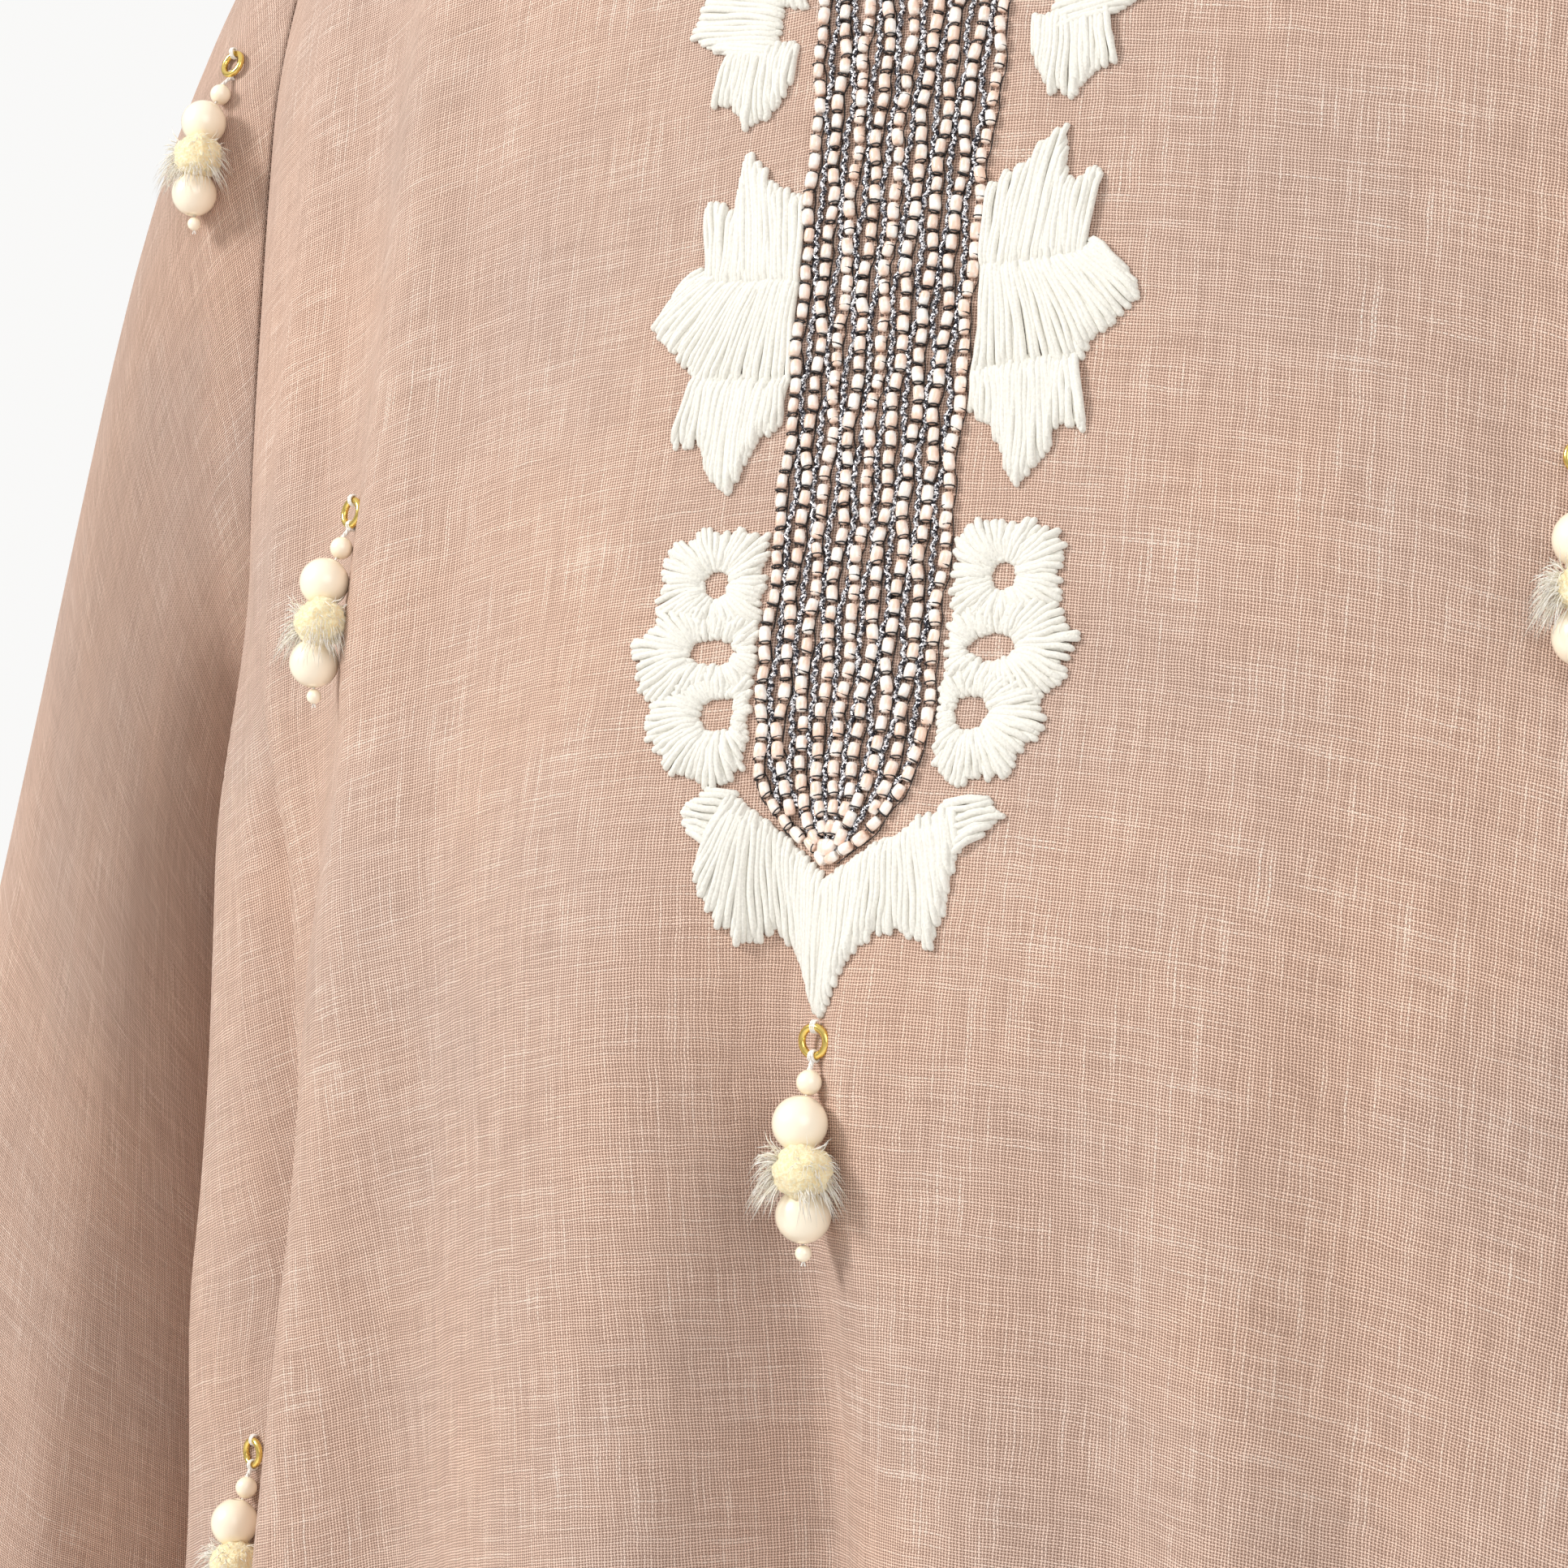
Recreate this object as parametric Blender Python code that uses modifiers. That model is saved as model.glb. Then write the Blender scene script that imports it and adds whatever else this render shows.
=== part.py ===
"""Jalabiya: a loose ankle-length dress with a beaded neck band, wool embroidery and pearl pendants.

Metres, +Z up. The front faces -Y and the wearer's left is +X. The origin lies between the shoulders,
at the height where the shoulder seams meet the neck, which is where the wearer holds the dress up.
"""

import math

import bmesh
import bpy
from mathutils import Matrix, Vector
from mathutils.bvhtree import BVHTree

CLOTH = 0.0015
SEAM_GAP = 0.0006
ARMHOLE_GAP = 0.0009
PAD_GAP = 0.0003
PAD_THICK = 0.0014
BAND_THICK = 0.0018

HEM_Z = -1.40
UNDERARM_Z = -0.27
NECK_X = 0.085
SHOULDER_FALL = 0.40
SHOULDER_ROUND = 0.085
SECTION_POWER = 2.5

SLIT_TIP_Z = -0.125
SLIT_TOP_X = 0.013
SLIT_TOP_Z = -0.078
BACK_NECK_Z = -0.022

ARMHOLE_S = 0.78
SHOULDER_Z = -0.05
NECK_ROUND = 1.15
ARMHOLE_TURN_Z = -0.19

# The body's sections, a row for each height.
BODY_COLUMNS = ("z", "half_width", "front", "back")
BODY = (
    (0.04, 0.198, 0.055, 0.060),
    (-0.06, 0.201, 0.078, 0.088),
    (-0.125, 0.204, 0.095, 0.104),
    (-0.20, 0.204, 0.110, 0.113),
    (-0.25, 0.201, 0.1205, 0.113),
    (-0.30, 0.197, 0.1325, 0.110),
    (-0.35, 0.197, 0.1350, 0.108),
    (-0.41, 0.202, 0.1350, 0.107),
    (-0.47, 0.207, 0.1350, 0.109),
    (-0.60, 0.217, 0.140, 0.118),
    (-1.00, 0.264, 0.172, 0.156),
    (-1.40, 0.335, 0.212, 0.200),
)

# The drape folds, a row for each. A place of 0 is the centre front, 1 and -1 are the side seams and 2 is
# the centre back. A depth above 0 is a ridge. A fold starts at z_start and is full at z_full.
FOLD_COLUMNS = ("place", "half_width", "depth", "z_start", "z_full", "lean")
FOLDS = (
    (-0.022, 0.085, -0.0125, -0.27, -0.43, 0.00),
    (-0.160, 0.120, 0.0090, -0.15, -0.36, -0.02),
    (0.100, 0.080, 0.0040, -0.34, -0.50, 0.00),
    (0.170, 0.090, -0.0050, -0.29, -0.40, 0.02),
    (0.250, 0.080, 0.0035, -0.27, -0.42, 0.03),
    (0.325, 0.080, -0.0040, -0.19, -0.38, 0.04),
    (0.455, 0.120, 0.0110, -0.30, -0.60, 0.03),
    (0.610, 0.110, -0.0120, -0.36, -0.70, 0.02),
    (0.780, 0.130, 0.0120, -0.42, -0.80, 0.02),
    (1.000, 0.160, -0.0080, -0.45, -0.90, 0.00),
    (-0.345, 0.110, -0.0110, -0.24, -0.46, -0.03),
    (-0.455, 0.100, 0.0110, -0.26, -0.50, -0.06),
    (-0.605, 0.100, -0.0120, -0.22, -0.44, -0.04),
    (-0.770, 0.120, 0.0100, -0.28, -0.54, -0.01),
    (-1.000, 0.150, -0.0090, -0.45, -0.85, 0.00),
    (1.220, 0.130, 0.0120, -0.40, -0.80, 0.02),
    (1.420, 0.130, -0.0130, -0.32, -0.70, 0.02),
    (1.620, 0.130, 0.0120, -0.26, -0.66, 0.01),
    (1.800, 0.120, -0.0110, -0.22, -0.60, 0.00),
    (1.970, 0.130, 0.0100, -0.30, -0.62, 0.00),
    (2.150, 0.120, -0.0120, -0.25, -0.64, 0.00),
    (2.340, 0.130, 0.0120, -0.30, -0.68, -0.01),
    (2.540, 0.130, -0.0120, -0.34, -0.72, -0.02),
    (2.760, 0.130, 0.0110, -0.42, -0.80, -0.02),
)
FOLD_GROWTH = 1.5
FOLD_GROWTH_FROM = -0.42

# The sleeve's upper and lower line seen from the front, and its half depth, from the armhole (0) to the
# cuff (1).
SLEEVE_COLUMNS = ("along", "outer_x", "outer_z", "inner_x", "inner_z", "half_depth")
SLEEVE = (
    (0.00, 0.191, -0.0420, 0.2000, -0.270, 0.055),
    (0.10, 0.212, -0.062, 0.2055, -0.281, 0.058),
    (0.25, 0.237, -0.117, 0.2100, -0.322, 0.062),
    (0.50, 0.272, -0.262, 0.2140, -0.410, 0.070),
    (0.75, 0.309, -0.425, 0.2240, -0.515, 0.082),
    (1.00, 0.350, -0.590, 0.2460, -0.625, 0.095),
)
SLEEVE_RINGS = (0.0, 0.04, 0.1, 0.18, 0.27, 0.37, 0.47, 0.58, 0.69, 0.8, 0.9, 1.0)
# The sleeve's folds by turn in degrees from the shoulder, towards the front, and where along it they start.
SLEEVE_FOLD_COLUMNS = ("turn", "half_width", "depth", "start")
SLEEVE_FOLDS = (
    (55, 30, 0.006, 0.25),
    (95, 26, -0.008, 0.30),
    (160, 32, 0.008, 0.10),
    (215, 30, -0.007, 0.25),
    (255, 28, 0.007, 0.20),
    (300, 28, -0.007, 0.35),
)

# Rows of the panels: fractions from the top edge to the underarm, then heights below it.
UPPER_ROWS = (0.0, 0.005, 0.05, 0.14, 0.24, 0.35, 0.46, 0.58, 0.70, 0.80, 0.90, 1.0)
LOWER_ROWS = (
    -0.30, -0.33, -0.365, -0.41, -0.46, -0.52, -0.59, -0.67,
    -0.76, -0.86, -0.97, -1.08, -1.19, -1.30, -1.40,
)
FRONT_COLUMNS = 20
BACK_COLUMNS = 16
SLIT_SHARE = 0.10
NECK_SHARE = 0.45

# Half the band's width by height, down to its point.
BAND_COLUMNS = ("z", "half_width")
BAND = (
    (-0.125, 0.0205),
    (-0.16, 0.0190),
    (-0.20, 0.0184),
    (-0.255, 0.0182),
    (-0.268, 0.0170),
    (-0.2846, 0.0),
)
BAND_ARM = 0.0178
BAND_INSET = 0.0008
# How far along the neck's edge the band runs, of 1 at the shoulder seam, and its number of steps.
BAND_END = 0.93
BAND_STEPS = 7
# The foot of the cloth that the pads are cut from, and how deep their cutters reach.
SLAB_FOOT_Z = -0.37
CUTTER_FRONT_Y = -0.20
CUTTER_BACK_Y = -0.03

# Outlines of the wool pads on the wearer's left, in millimetres from the centre line and from the shoulder.
MOTIF_TOP = (
    (28.6, -124), (29.5, -113), (33, -105), (40, -102), (44, -107), (49.5, -110), (48, -119),
    (50, -127), (43, -132), (42, -142), (34, -147), (27, -142), (26, -134),
)
MOTIF_LEAF = (
    (21, -161), (32, -151.5), (34, -163), (41, -160), (39.5, -176), (50, -184.5),
    (39.5, -194), (42, -209), (34, -206), (31, -217.5), (24, -207), (20.3, -196), (20.3, -176),
)
MOTIF_PETALS = (
    (20.2, -226), (28, -223), (37, -224), (41, -229.5), (38.5, -236), (45.5, -242), (46, -248.5),
    (39.5, -254.5), (40.5, -262), (34, -269), (25.5, -268), (20.2, -260),
)
MOTIF_CROWN = (
    (0, -289), (18.5, -271.5), (24, -275), (33, -274), (29, -281), (28.5, -291), (22, -298),
    (14, -295), (6, -300), (0, -312),
)

PEARL = 0.0050
SMALL_PEARL = 0.0022
TINY_PEARL = 0.00145
RING = 0.0026
RING_WIRE = 0.0007
KNOT = 0.0007
POMPOM = 0.0042
POMPOM_FLAT = 0.60
# Drops below the ring's centre.
SMALL_DROP = 0.0073
PEARL_DROP = 0.0142
POMPOM_DROP = 0.0223
LOWER_DROP = 0.0304
TINY_DROP = 0.0371
POMPOM_LOCKS = 18
LOCK_LONG = 0.0035
LOCK_BACK = -0.45
LOCK_NARROW = 0.35
LOCK_VARIES = 0.25
LOCK_TURN = 2.4
HANG_GAP = 0.0004
REACH = 0.03
PENDANT_PARTS = ("ring", "small_pearl", "upper_pearl", "pompom", "lower_pearl", "tiny_pearl")
# The stitches that the pendants hang from. Those on the front have their distance from the centre line,
# their height, and the way that the cloth faces there, in degrees from the front towards the side. The
# sleeve's is a share along it and a turn round it in degrees.
CENTRE_STITCH_Z = -0.3128
FRONT_STITCHES = {"chest": (0.128, -0.2128, 0), "side": (0.172, -0.408, 28)}
SLEEVE_STITCH = (0.075, 57)

COLOURS = {
    "linen": ((0.55, 0.40, 0.31), 0.85, 0.0),
    "beads": ((0.62, 0.52, 0.44), 0.4, 0.1),
    "wool": ((0.88, 0.87, 0.80), 0.9, 0.0),
    "gold": ((0.80, 0.60, 0.22), 0.25, 1.0),
    "pearl": ((0.90, 0.83, 0.74), 0.2, 0.0),
    "pompom": ((0.92, 0.87, 0.68), 0.9, 0.0),
}


def smooth(value):
    """0 to 1 with level ends."""
    value = min(max(value, 0.0), 1.0)
    return value * value * (3 - 2 * value)


def read(table, names, column, at):
    """A column's value where the first column is `at`, on a smooth curve through the rows."""
    rows = sorted((row[0], row[names.index(column)]) for row in table)
    if at <= rows[0][0]:
        return rows[0][1]
    if at >= rows[-1][0]:
        return rows[-1][1]
    slopes = []
    for i, (x, y) in enumerate(rows):
        before, after = rows[max(i - 1, 0)], rows[min(i + 1, len(rows) - 1)]
        slopes.append((after[1] - before[1]) / (after[0] - before[0]))
    i = max(k for k in range(len(rows) - 1) if rows[k][0] <= at)
    (x0, y0), (x1, y1) = rows[i], rows[i + 1]
    width = x1 - x0
    t = (at - x0) / width
    return (
        y0 * (1 + 2 * t) * (1 - t) ** 2
        + slopes[i] * width * t * (1 - t) ** 2
        + y1 * t * t * (3 - 2 * t)
        + slopes[i + 1] * width * t * t * (t - 1)
    )


def bump(distance, half_width):
    """A round ridge of height 1 that ends at its half width."""
    if abs(distance) >= half_width:
        return 0.0
    return 0.5 + 0.5 * math.cos(math.pi * distance / half_width)


def fold_depth(place, z):
    """How far the folds move the cloth out, at a place round the body and a height."""
    growth = 1 + FOLD_GROWTH * smooth((FOLD_GROWTH_FROM - z) / (FOLD_GROWTH_FROM - HEM_Z))
    depth = 0.0
    for centre, half_width, height, z_start, z_full, lean in FOLDS:
        strength = smooth((z_start - z) / (z_start - z_full))
        if strength > 0:
            away = place - centre - lean * (z_start - z)
            away = (away + 2) % 4 - 2
            depth += height * strength * bump(away, half_width)
    return depth * growth


def base_point(front, s, z):
    """A point of the smooth form. s runs from -1 at the wearer's right side seam to 1 at the left."""
    half_width = read(BODY, BODY_COLUMNS, "half_width", z)
    deep = read(BODY, BODY_COLUMNS, "front" if front else "back", z)
    across = math.sin(s * math.pi / 2)
    x = half_width * across
    below = (-SHOULDER_FALL * (abs(x) - NECK_X) - z) / SHOULDER_ROUND
    below = min(max(below, 0.0), 1.0)
    over_shoulder = math.sqrt(1 - (1 - below) ** 2)
    y = deep * over_shoulder * max(1 - abs(across) ** SECTION_POWER, 0.0) ** (1 / SECTION_POWER)
    return Vector((x, -y if front else y, z))


def body_point(front, s, z):
    """A point of the cloth, with its folds."""
    step = 0.01
    depth = fold_depth(s if front else 2 - s, z)
    here = base_point(front, s, z)
    if not depth:
        return here
    along = base_point(front, min(s + step, 1), z) - base_point(front, max(s - step, -1), z)
    out = Vector((along.y, -along.x, 0)).normalized()
    if not front:
        out = -out
    if abs(s) > 1 - step:
        out = Vector((math.copysign(1, s), 0, 0))
    return here + out * depth


def s_of_x(x, z):
    """The s of a point that lies x from the centre line."""
    return math.asin(x / read(BODY, BODY_COLUMNS, "half_width", z)) * 2 / math.pi


def armhole(turn):
    """(s, z) on the armhole, from the shoulder (0) to the underarm (pi)."""
    shoulder_z = -SHOULDER_FALL * (base_point(True, ARMHOLE_S, SHOULDER_Z).x - NECK_X)
    z = shoulder_z + (UNDERARM_Z - shoulder_z) * (1 - math.cos(turn)) / 2
    low = max((ARMHOLE_TURN_Z - z) / (ARMHOLE_TURN_Z - UNDERARM_Z), 0.0)
    s = 1 - (1 - ARMHOLE_S) * math.sqrt(max(1 - low * low, 0.0))
    return s, z


def neck_edge(front, share):
    """(x, z) along half of the neck's edge, from the centre (0) to the shoulder seam (1)."""
    turn = share * math.pi / 2
    if front:
        return (
            SLIT_TOP_X + (NECK_X - SLIT_TOP_X) * math.sin(turn) ** NECK_ROUND,
            SLIT_TOP_Z * math.cos(turn) ** NECK_ROUND,
        )
    return NECK_X * math.sin(turn), BACK_NECK_Z * math.cos(turn)


def top_edge(front, u):
    """(s, z) on the upper edge of half a panel, from its centre (0) to the shoulder's end (1)."""
    slit = SLIT_SHARE if front else 0.0
    if u < slit:
        x, z = SLIT_TOP_X * u / slit, SLIT_TIP_Z + (SLIT_TOP_Z - SLIT_TIP_Z) * u / slit
    elif u <= NECK_SHARE:
        x, z = neck_edge(front, (u - slit) / (NECK_SHARE - slit))
    else:
        end_s, _ = armhole(0)
        end_x = base_point(True, end_s, SHOULDER_Z).x
        x = NECK_X + (end_x - NECK_X) * (u - NECK_SHARE) / (1 - NECK_SHARE)
        z = -SHOULDER_FALL * (x - NECK_X)
    return s_of_x(x, z), z


def panel_place(front, u, row):
    """(s, z) of a grid point of half a panel."""
    if row >= len(UPPER_ROWS):
        return u, LOWER_ROWS[row - len(UPPER_ROWS)]
    w = UPPER_ROWS[row]
    top_s, top_z = top_edge(front, u)
    s = top_s + (u - top_s) * w
    z = top_z + (UNDERARM_Z - top_z) * w
    end_s, end_z = armhole(w * math.pi)
    corner_s, corner_z = armhole(0)
    straight_s = corner_s + (1 - corner_s) * w
    straight_z = corner_z + (UNDERARM_Z - corner_z) * w
    pull = u**3
    return s + pull * (end_s - straight_s), z + pull * (end_z - straight_z)


def mesh_object(name, points, faces, colour, collection):
    """A named piece with its material, made from points and faces."""
    mesh = bpy.data.meshes.new(name)
    mesh.from_pydata([tuple(p) for p in points], [], faces)
    mesh.validate()
    piece = bpy.data.objects.new(name, mesh)
    mesh.materials.append(material(colour))
    mesh.shade_smooth()
    collection.objects.link(piece)
    return piece


def material(kind):
    """The material of a kind, made the first time it is asked for."""
    found = bpy.data.materials.get(kind)
    if found:
        return found
    colour, roughness, metallic = COLOURS[kind]
    made = bpy.data.materials.new(kind)
    made.use_nodes = True
    shader = made.node_tree.nodes["Principled BSDF"]
    shader.inputs["Base Color"].default_value = (*colour, 1)
    shader.inputs["Roughness"].default_value = roughness
    shader.inputs["Metallic"].default_value = metallic
    return made


def panel_grid(front):
    """The panel's outer points, row by row from the wearer's right to the left."""
    columns = FRONT_COLUMNS if front else BACK_COLUMNS
    side_shift = -SEAM_GAP / 2 if front else SEAM_GAP / 2
    grid = []
    for row in range(len(UPPER_ROWS) + len(LOWER_ROWS)):
        line = []
        for i in range(-columns, columns + 1):
            s, z = panel_place(front, abs(i) / columns, row)
            point = body_point(front, math.copysign(s, i) if i else 0.0, z)
            line.append(point + Vector((0, side_shift, 0)))
        grid.append(line)
    return grid


def grid_faces(rows, columns, flip):
    """Two triangles for each cell of a grid."""
    faces = []
    for j in range(rows - 1):
        for i in range(columns - 1):
            a = j * columns + i
            for face in ((a, a + 1, a + 1 + columns), (a, a + 1 + columns, a + columns)):
                faces.append(face if flip else face[::-1])
    return faces


def solidify(piece, thickness, offset):
    """Give a surface its thickness."""
    wall = piece.modifiers.new("wall", "SOLIDIFY")
    wall.thickness = thickness
    wall.offset = offset
    wall.use_even_offset = False


def make_panel(name, front, collection):
    """The front or the back, as one wall of cloth."""
    grid = panel_grid(front)
    points = [p for line in grid for p in line]
    piece = mesh_object(name, points, grid_faces(len(grid), len(grid[0]), not front), "linen", collection)
    solidify(piece, CLOTH, -1)
    return piece


def sleeve_value(column, along):
    """A column of the sleeve's table at a share along it."""
    return read(SLEEVE, SLEEVE_COLUMNS, column, along)


def sleeve_ring_point(along, turn):
    """A point of the sleeve's smooth form, with the turn from 0 at the shoulder over the front to 2 pi."""
    outer = Vector((sleeve_value("outer_x", along), 0, sleeve_value("outer_z", along)))
    inner = Vector((sleeve_value("inner_x", along), 0, sleeve_value("inner_z", along)))
    deep = sleeve_value("half_depth", along)
    middle, half_span = (outer + inner) / 2, (outer - inner) / 2
    return middle + half_span * math.cos(turn) - Vector((0, deep * math.sin(turn), 0))


def armhole_point(turn):
    """A point of the body's armhole edge, on the front for a turn below pi and on the back above it."""
    front = turn <= math.pi
    s, z = armhole(turn if front else 2 * math.pi - turn)
    return body_point(front, s, z)


def sleeve_point(along, turn):
    """A point of the wearer's left sleeve."""
    start_error = armhole_point(turn) - sleeve_ring_point(0, turn)
    point = sleeve_ring_point(along, turn) + start_error * (1 - along) ** 3
    depth = 0.0
    for centre, half_width, height, start in SLEEVE_FOLDS:
        away = math.degrees(turn) - centre
        depth += height * smooth((along - start) / (1 - start)) * bump(away, half_width)
    centre = (sleeve_ring_point(along, 0) + sleeve_ring_point(along, math.pi)) / 2
    out = (point - centre).normalized()
    return point + out * depth + Vector((ARMHOLE_GAP, 0, 0))


def make_sleeve(name, side, collection):
    """One sleeve as an open tube of cloth."""
    turns = [w * math.pi for w in UPPER_ROWS]
    turns += [2 * math.pi - t for t in turns[-2:0:-1]]
    points, faces = [], []
    for along in SLEEVE_RINGS:
        for turn in turns:
            point = sleeve_point(along, turn)
            points.append(Vector((side * point.x, point.y, point.z)))
    around = len(turns)
    for j in range(len(SLEEVE_RINGS) - 1):
        for i in range(around):
            a, b = j * around + i, j * around + (i + 1) % around
            for face in ((a, b, b + around), (a, b + around, a + around)):
                faces.append(face if side > 0 else face[::-1])
    piece = mesh_object(name, points, faces, "linen", collection)
    solidify(piece, CLOTH, -1)
    return piece


def front_slab(name, thickness, helpers):
    """The front's own points moved out: the body that the band and the pads are cut from."""
    grid = panel_grid(True)
    keep_rows = [j for j in range(len(grid)) if grid[j][FRONT_COLUMNS].z > SLAB_FOOT_Z]
    keep_columns = range(FRONT_COLUMNS // 3, 2 * FRONT_COLUMNS - FRONT_COLUMNS // 3 + 1)
    points = [p for line in grid for p in line]
    faces = grid_faces(len(grid), len(grid[0]), False)
    source = mesh_object(name + "_source", points, faces, "wool", helpers)
    normals = [v.normal.copy() for v in source.data.vertices]
    width = len(grid[0])
    bottom = [grid[j][i] + normals[j * width + i] * PAD_GAP for j in keep_rows for i in keep_columns]
    slab = mesh_object(name, bottom, grid_faces(len(keep_rows), len(keep_columns), False), "wool", helpers)
    solidify(slab, thickness, 1)
    bpy.data.objects.remove(source)
    hide(slab)
    return slab


def hide(piece):
    """Keep a cutter out of the result."""
    piece.hide_render = True
    piece.display_type = "WIRE"


def cut_pad(name, outline, slab, colour, collection, solver="EXACT"):
    """An upright outline pushed through the slab: a pad that follows the cloth under it."""
    count = len(outline)
    points = [Vector((x, y, z)) for y in (CUTTER_FRONT_Y, CUTTER_BACK_Y) for x, z in outline]
    faces = [tuple(range(count)), tuple(range(2 * count - 1, count - 1, -1))]
    faces += [(i, i + count, (i + 1) % count + count, (i + 1) % count) for i in range(count)]
    pad = mesh_object(name, points, faces, colour, collection)
    shape = bmesh.new()
    shape.from_mesh(pad.data)
    bmesh.ops.recalc_face_normals(shape, faces=shape.faces)
    bmesh.ops.triangulate(shape, faces=[f for f in shape.faces if len(f.verts) > 4])
    shape.to_mesh(pad.data)
    shape.free()
    cut = pad.modifiers.new("on the front", "BOOLEAN")
    cut.operation = "INTERSECT"
    cut.solver = solver
    cut.object = slab
    return pad


def band_outline():
    """The band's outline on both sides: the neck, the slit and the point at its foot."""
    outer, inner = [], []
    for z, half_width in reversed(BAND[:-1]):
        outer.append((half_width, z))
    step = BAND_END / BAND_STEPS
    for k in range(BAND_STEPS + 1):
        x, z = neck_edge(True, k * step)
        ahead_x, ahead_z = neck_edge(True, k * step + step / 10)
        along = Vector((ahead_x - x, ahead_z - z)).normalized()
        away = Vector((along.y, -along.x))
        inner.append((x + away.x * BAND_INSET, z + away.y * BAND_INSET))
        if k:
            outer.append((x + away.x * BAND_ARM, z + away.y * BAND_ARM))
    corner = (SLIT_TOP_X + BAND_INSET, SLIT_TOP_Z - BAND_INSET)
    half = [(0.0, BAND[-1][0])] + outer + inner[:0:-1] + [corner]
    tip = [(0.0, SLIT_TIP_Z - 2 * BAND_INSET)]
    return half + tip + [(-x, z) for x, z in reversed(half[1:])]


def motif_outline(points_mm, side):
    """A pad's outline in metres on one side."""
    return [(side * x / 1000, z / 1000) for x, z in points_mm]


def make_motifs(slab, collection):
    """The seven wool pads."""
    for side, word in ((-1, "right"), (1, "left")):
        for kind, points in (("top", MOTIF_TOP), ("leaf", MOTIF_LEAF), ("petals", MOTIF_PETALS)):
            cut_pad(f"motif_{kind}_{word}", motif_outline(points, side), slab, "wool", collection)
    half = motif_outline(MOTIF_CROWN, 1)
    crown = half + [(-x, z) for x, z in reversed(half[1:-1])]
    cut_pad("motif_crown", crown, slab, "wool", collection)


def make_pearl(name, radius, centre, segments, rings, collection):
    """A round pearl."""
    mesh = bpy.data.meshes.new(name)
    shape = bmesh.new()
    bmesh.ops.create_uvsphere(shape, u_segments=segments, v_segments=rings, radius=radius)
    shape.to_mesh(mesh)
    shape.free()
    mesh.materials.append(material("pearl"))
    mesh.shade_smooth()
    pearl = bpy.data.objects.new(name, mesh)
    pearl.location = centre
    collection.objects.link(pearl)
    return pearl


def make_knotted_pearl(name, centre, ring_foot, collection):
    """The small pearl with the thread knot that ties it to the ring, as one turned profile."""
    up = ring_foot - centre
    steps = 5
    neck_turn = math.asin(KNOT / SMALL_PEARL)
    profile = [(0.0, up.length - HANG_GAP), (KNOT, up.length - HANG_GAP)]
    for k in range(steps):
        turn = neck_turn + (math.pi - neck_turn) * k / steps
        profile.append((SMALL_PEARL * math.sin(turn), SMALL_PEARL * math.cos(turn)))
    profile.append((0.0, -SMALL_PEARL))
    mesh = bpy.data.meshes.new(name)
    edges = [(i, i + 1) for i in range(len(profile) - 1)]
    mesh.from_pydata([(r, 0, z) for r, z in profile], edges, [])
    mesh.materials.append(material("pearl"))
    piece = bpy.data.objects.new(name, mesh)
    turned = piece.modifiers.new("turned", "SCREW")
    turned.steps = 8
    turned.render_steps = 8
    turned.use_merge_vertices = True
    turned.merge_threshold = 0.00001
    piece.rotation_mode = "QUATERNION"
    piece.rotation_quaternion = up.to_track_quat("Z", "Y")
    piece.location = centre
    collection.objects.link(piece)
    return piece


def make_ring(name, centre, out, collection):
    """A gold wire ring that faces out."""
    bpy.ops.mesh.primitive_torus_add(
        major_radius=RING, minor_radius=RING_WIRE, major_segments=12, minor_segments=5
    )
    ring = bpy.context.object
    ring.name = name
    ring.data.name = name
    ring.data.materials.append(material("gold"))
    ring.data.shade_smooth()
    for held_in in list(ring.users_collection):
        held_in.objects.unlink(ring)
    collection.objects.link(ring)
    ring.rotation_mode = "QUATERNION"
    ring.rotation_quaternion = out.to_track_quat("Z", "Y")
    ring.location = centre
    return ring


def make_pompom(name, centre, hang, collection):
    """A round head whose locks are drawn out of its own faces, none of them towards the cloth."""
    mesh = bpy.data.meshes.new(name)
    shape = bmesh.new()
    bmesh.ops.create_icosphere(shape, subdivisions=2, radius=POMPOM)
    bmesh.ops.scale(shape, vec=(1, 1, POMPOM_FLAT), verts=shape.verts)
    clear = [f for f in shape.faces if f.calc_center_median().normalized().dot(hang.out) > LOCK_BACK]
    round_the_waist = sorted(clear, key=lambda f: (round(abs(f.calc_center_median().z), 5), f.index))
    locks = round_the_waist[:POMPOM_LOCKS]
    drawn = bmesh.ops.extrude_discrete_faces(shape, faces=locks)["faces"]
    for k, face in enumerate(drawn):
        middle = face.calc_center_median()
        away = middle.normalized() * LOCK_LONG * (1 - LOCK_VARIES + LOCK_VARIES * math.sin(LOCK_TURN * k))
        away.z *= LOCK_NARROW
        for vertex in face.verts:
            vertex.co = middle + (vertex.co - middle) * LOCK_NARROW + away
    shape.to_mesh(mesh)
    shape.free()
    mesh.materials.append(material("pompom"))
    pompom = bpy.data.objects.new(name, mesh)
    pompom.location = centre
    collection.objects.link(pompom)
    return pompom


def cloth_tree(pieces):
    """The outer faces of the cloth, to find how far it stands out at a place."""
    points, faces = [], []
    for piece in pieces:
        first = len(points)
        points += [piece.matrix_world @ v.co for v in piece.data.vertices]
        faces += [tuple(first + i for i in p.vertices) for p in piece.data.polygons]
    return BVHTree.FromPolygons(points, faces)


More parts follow.
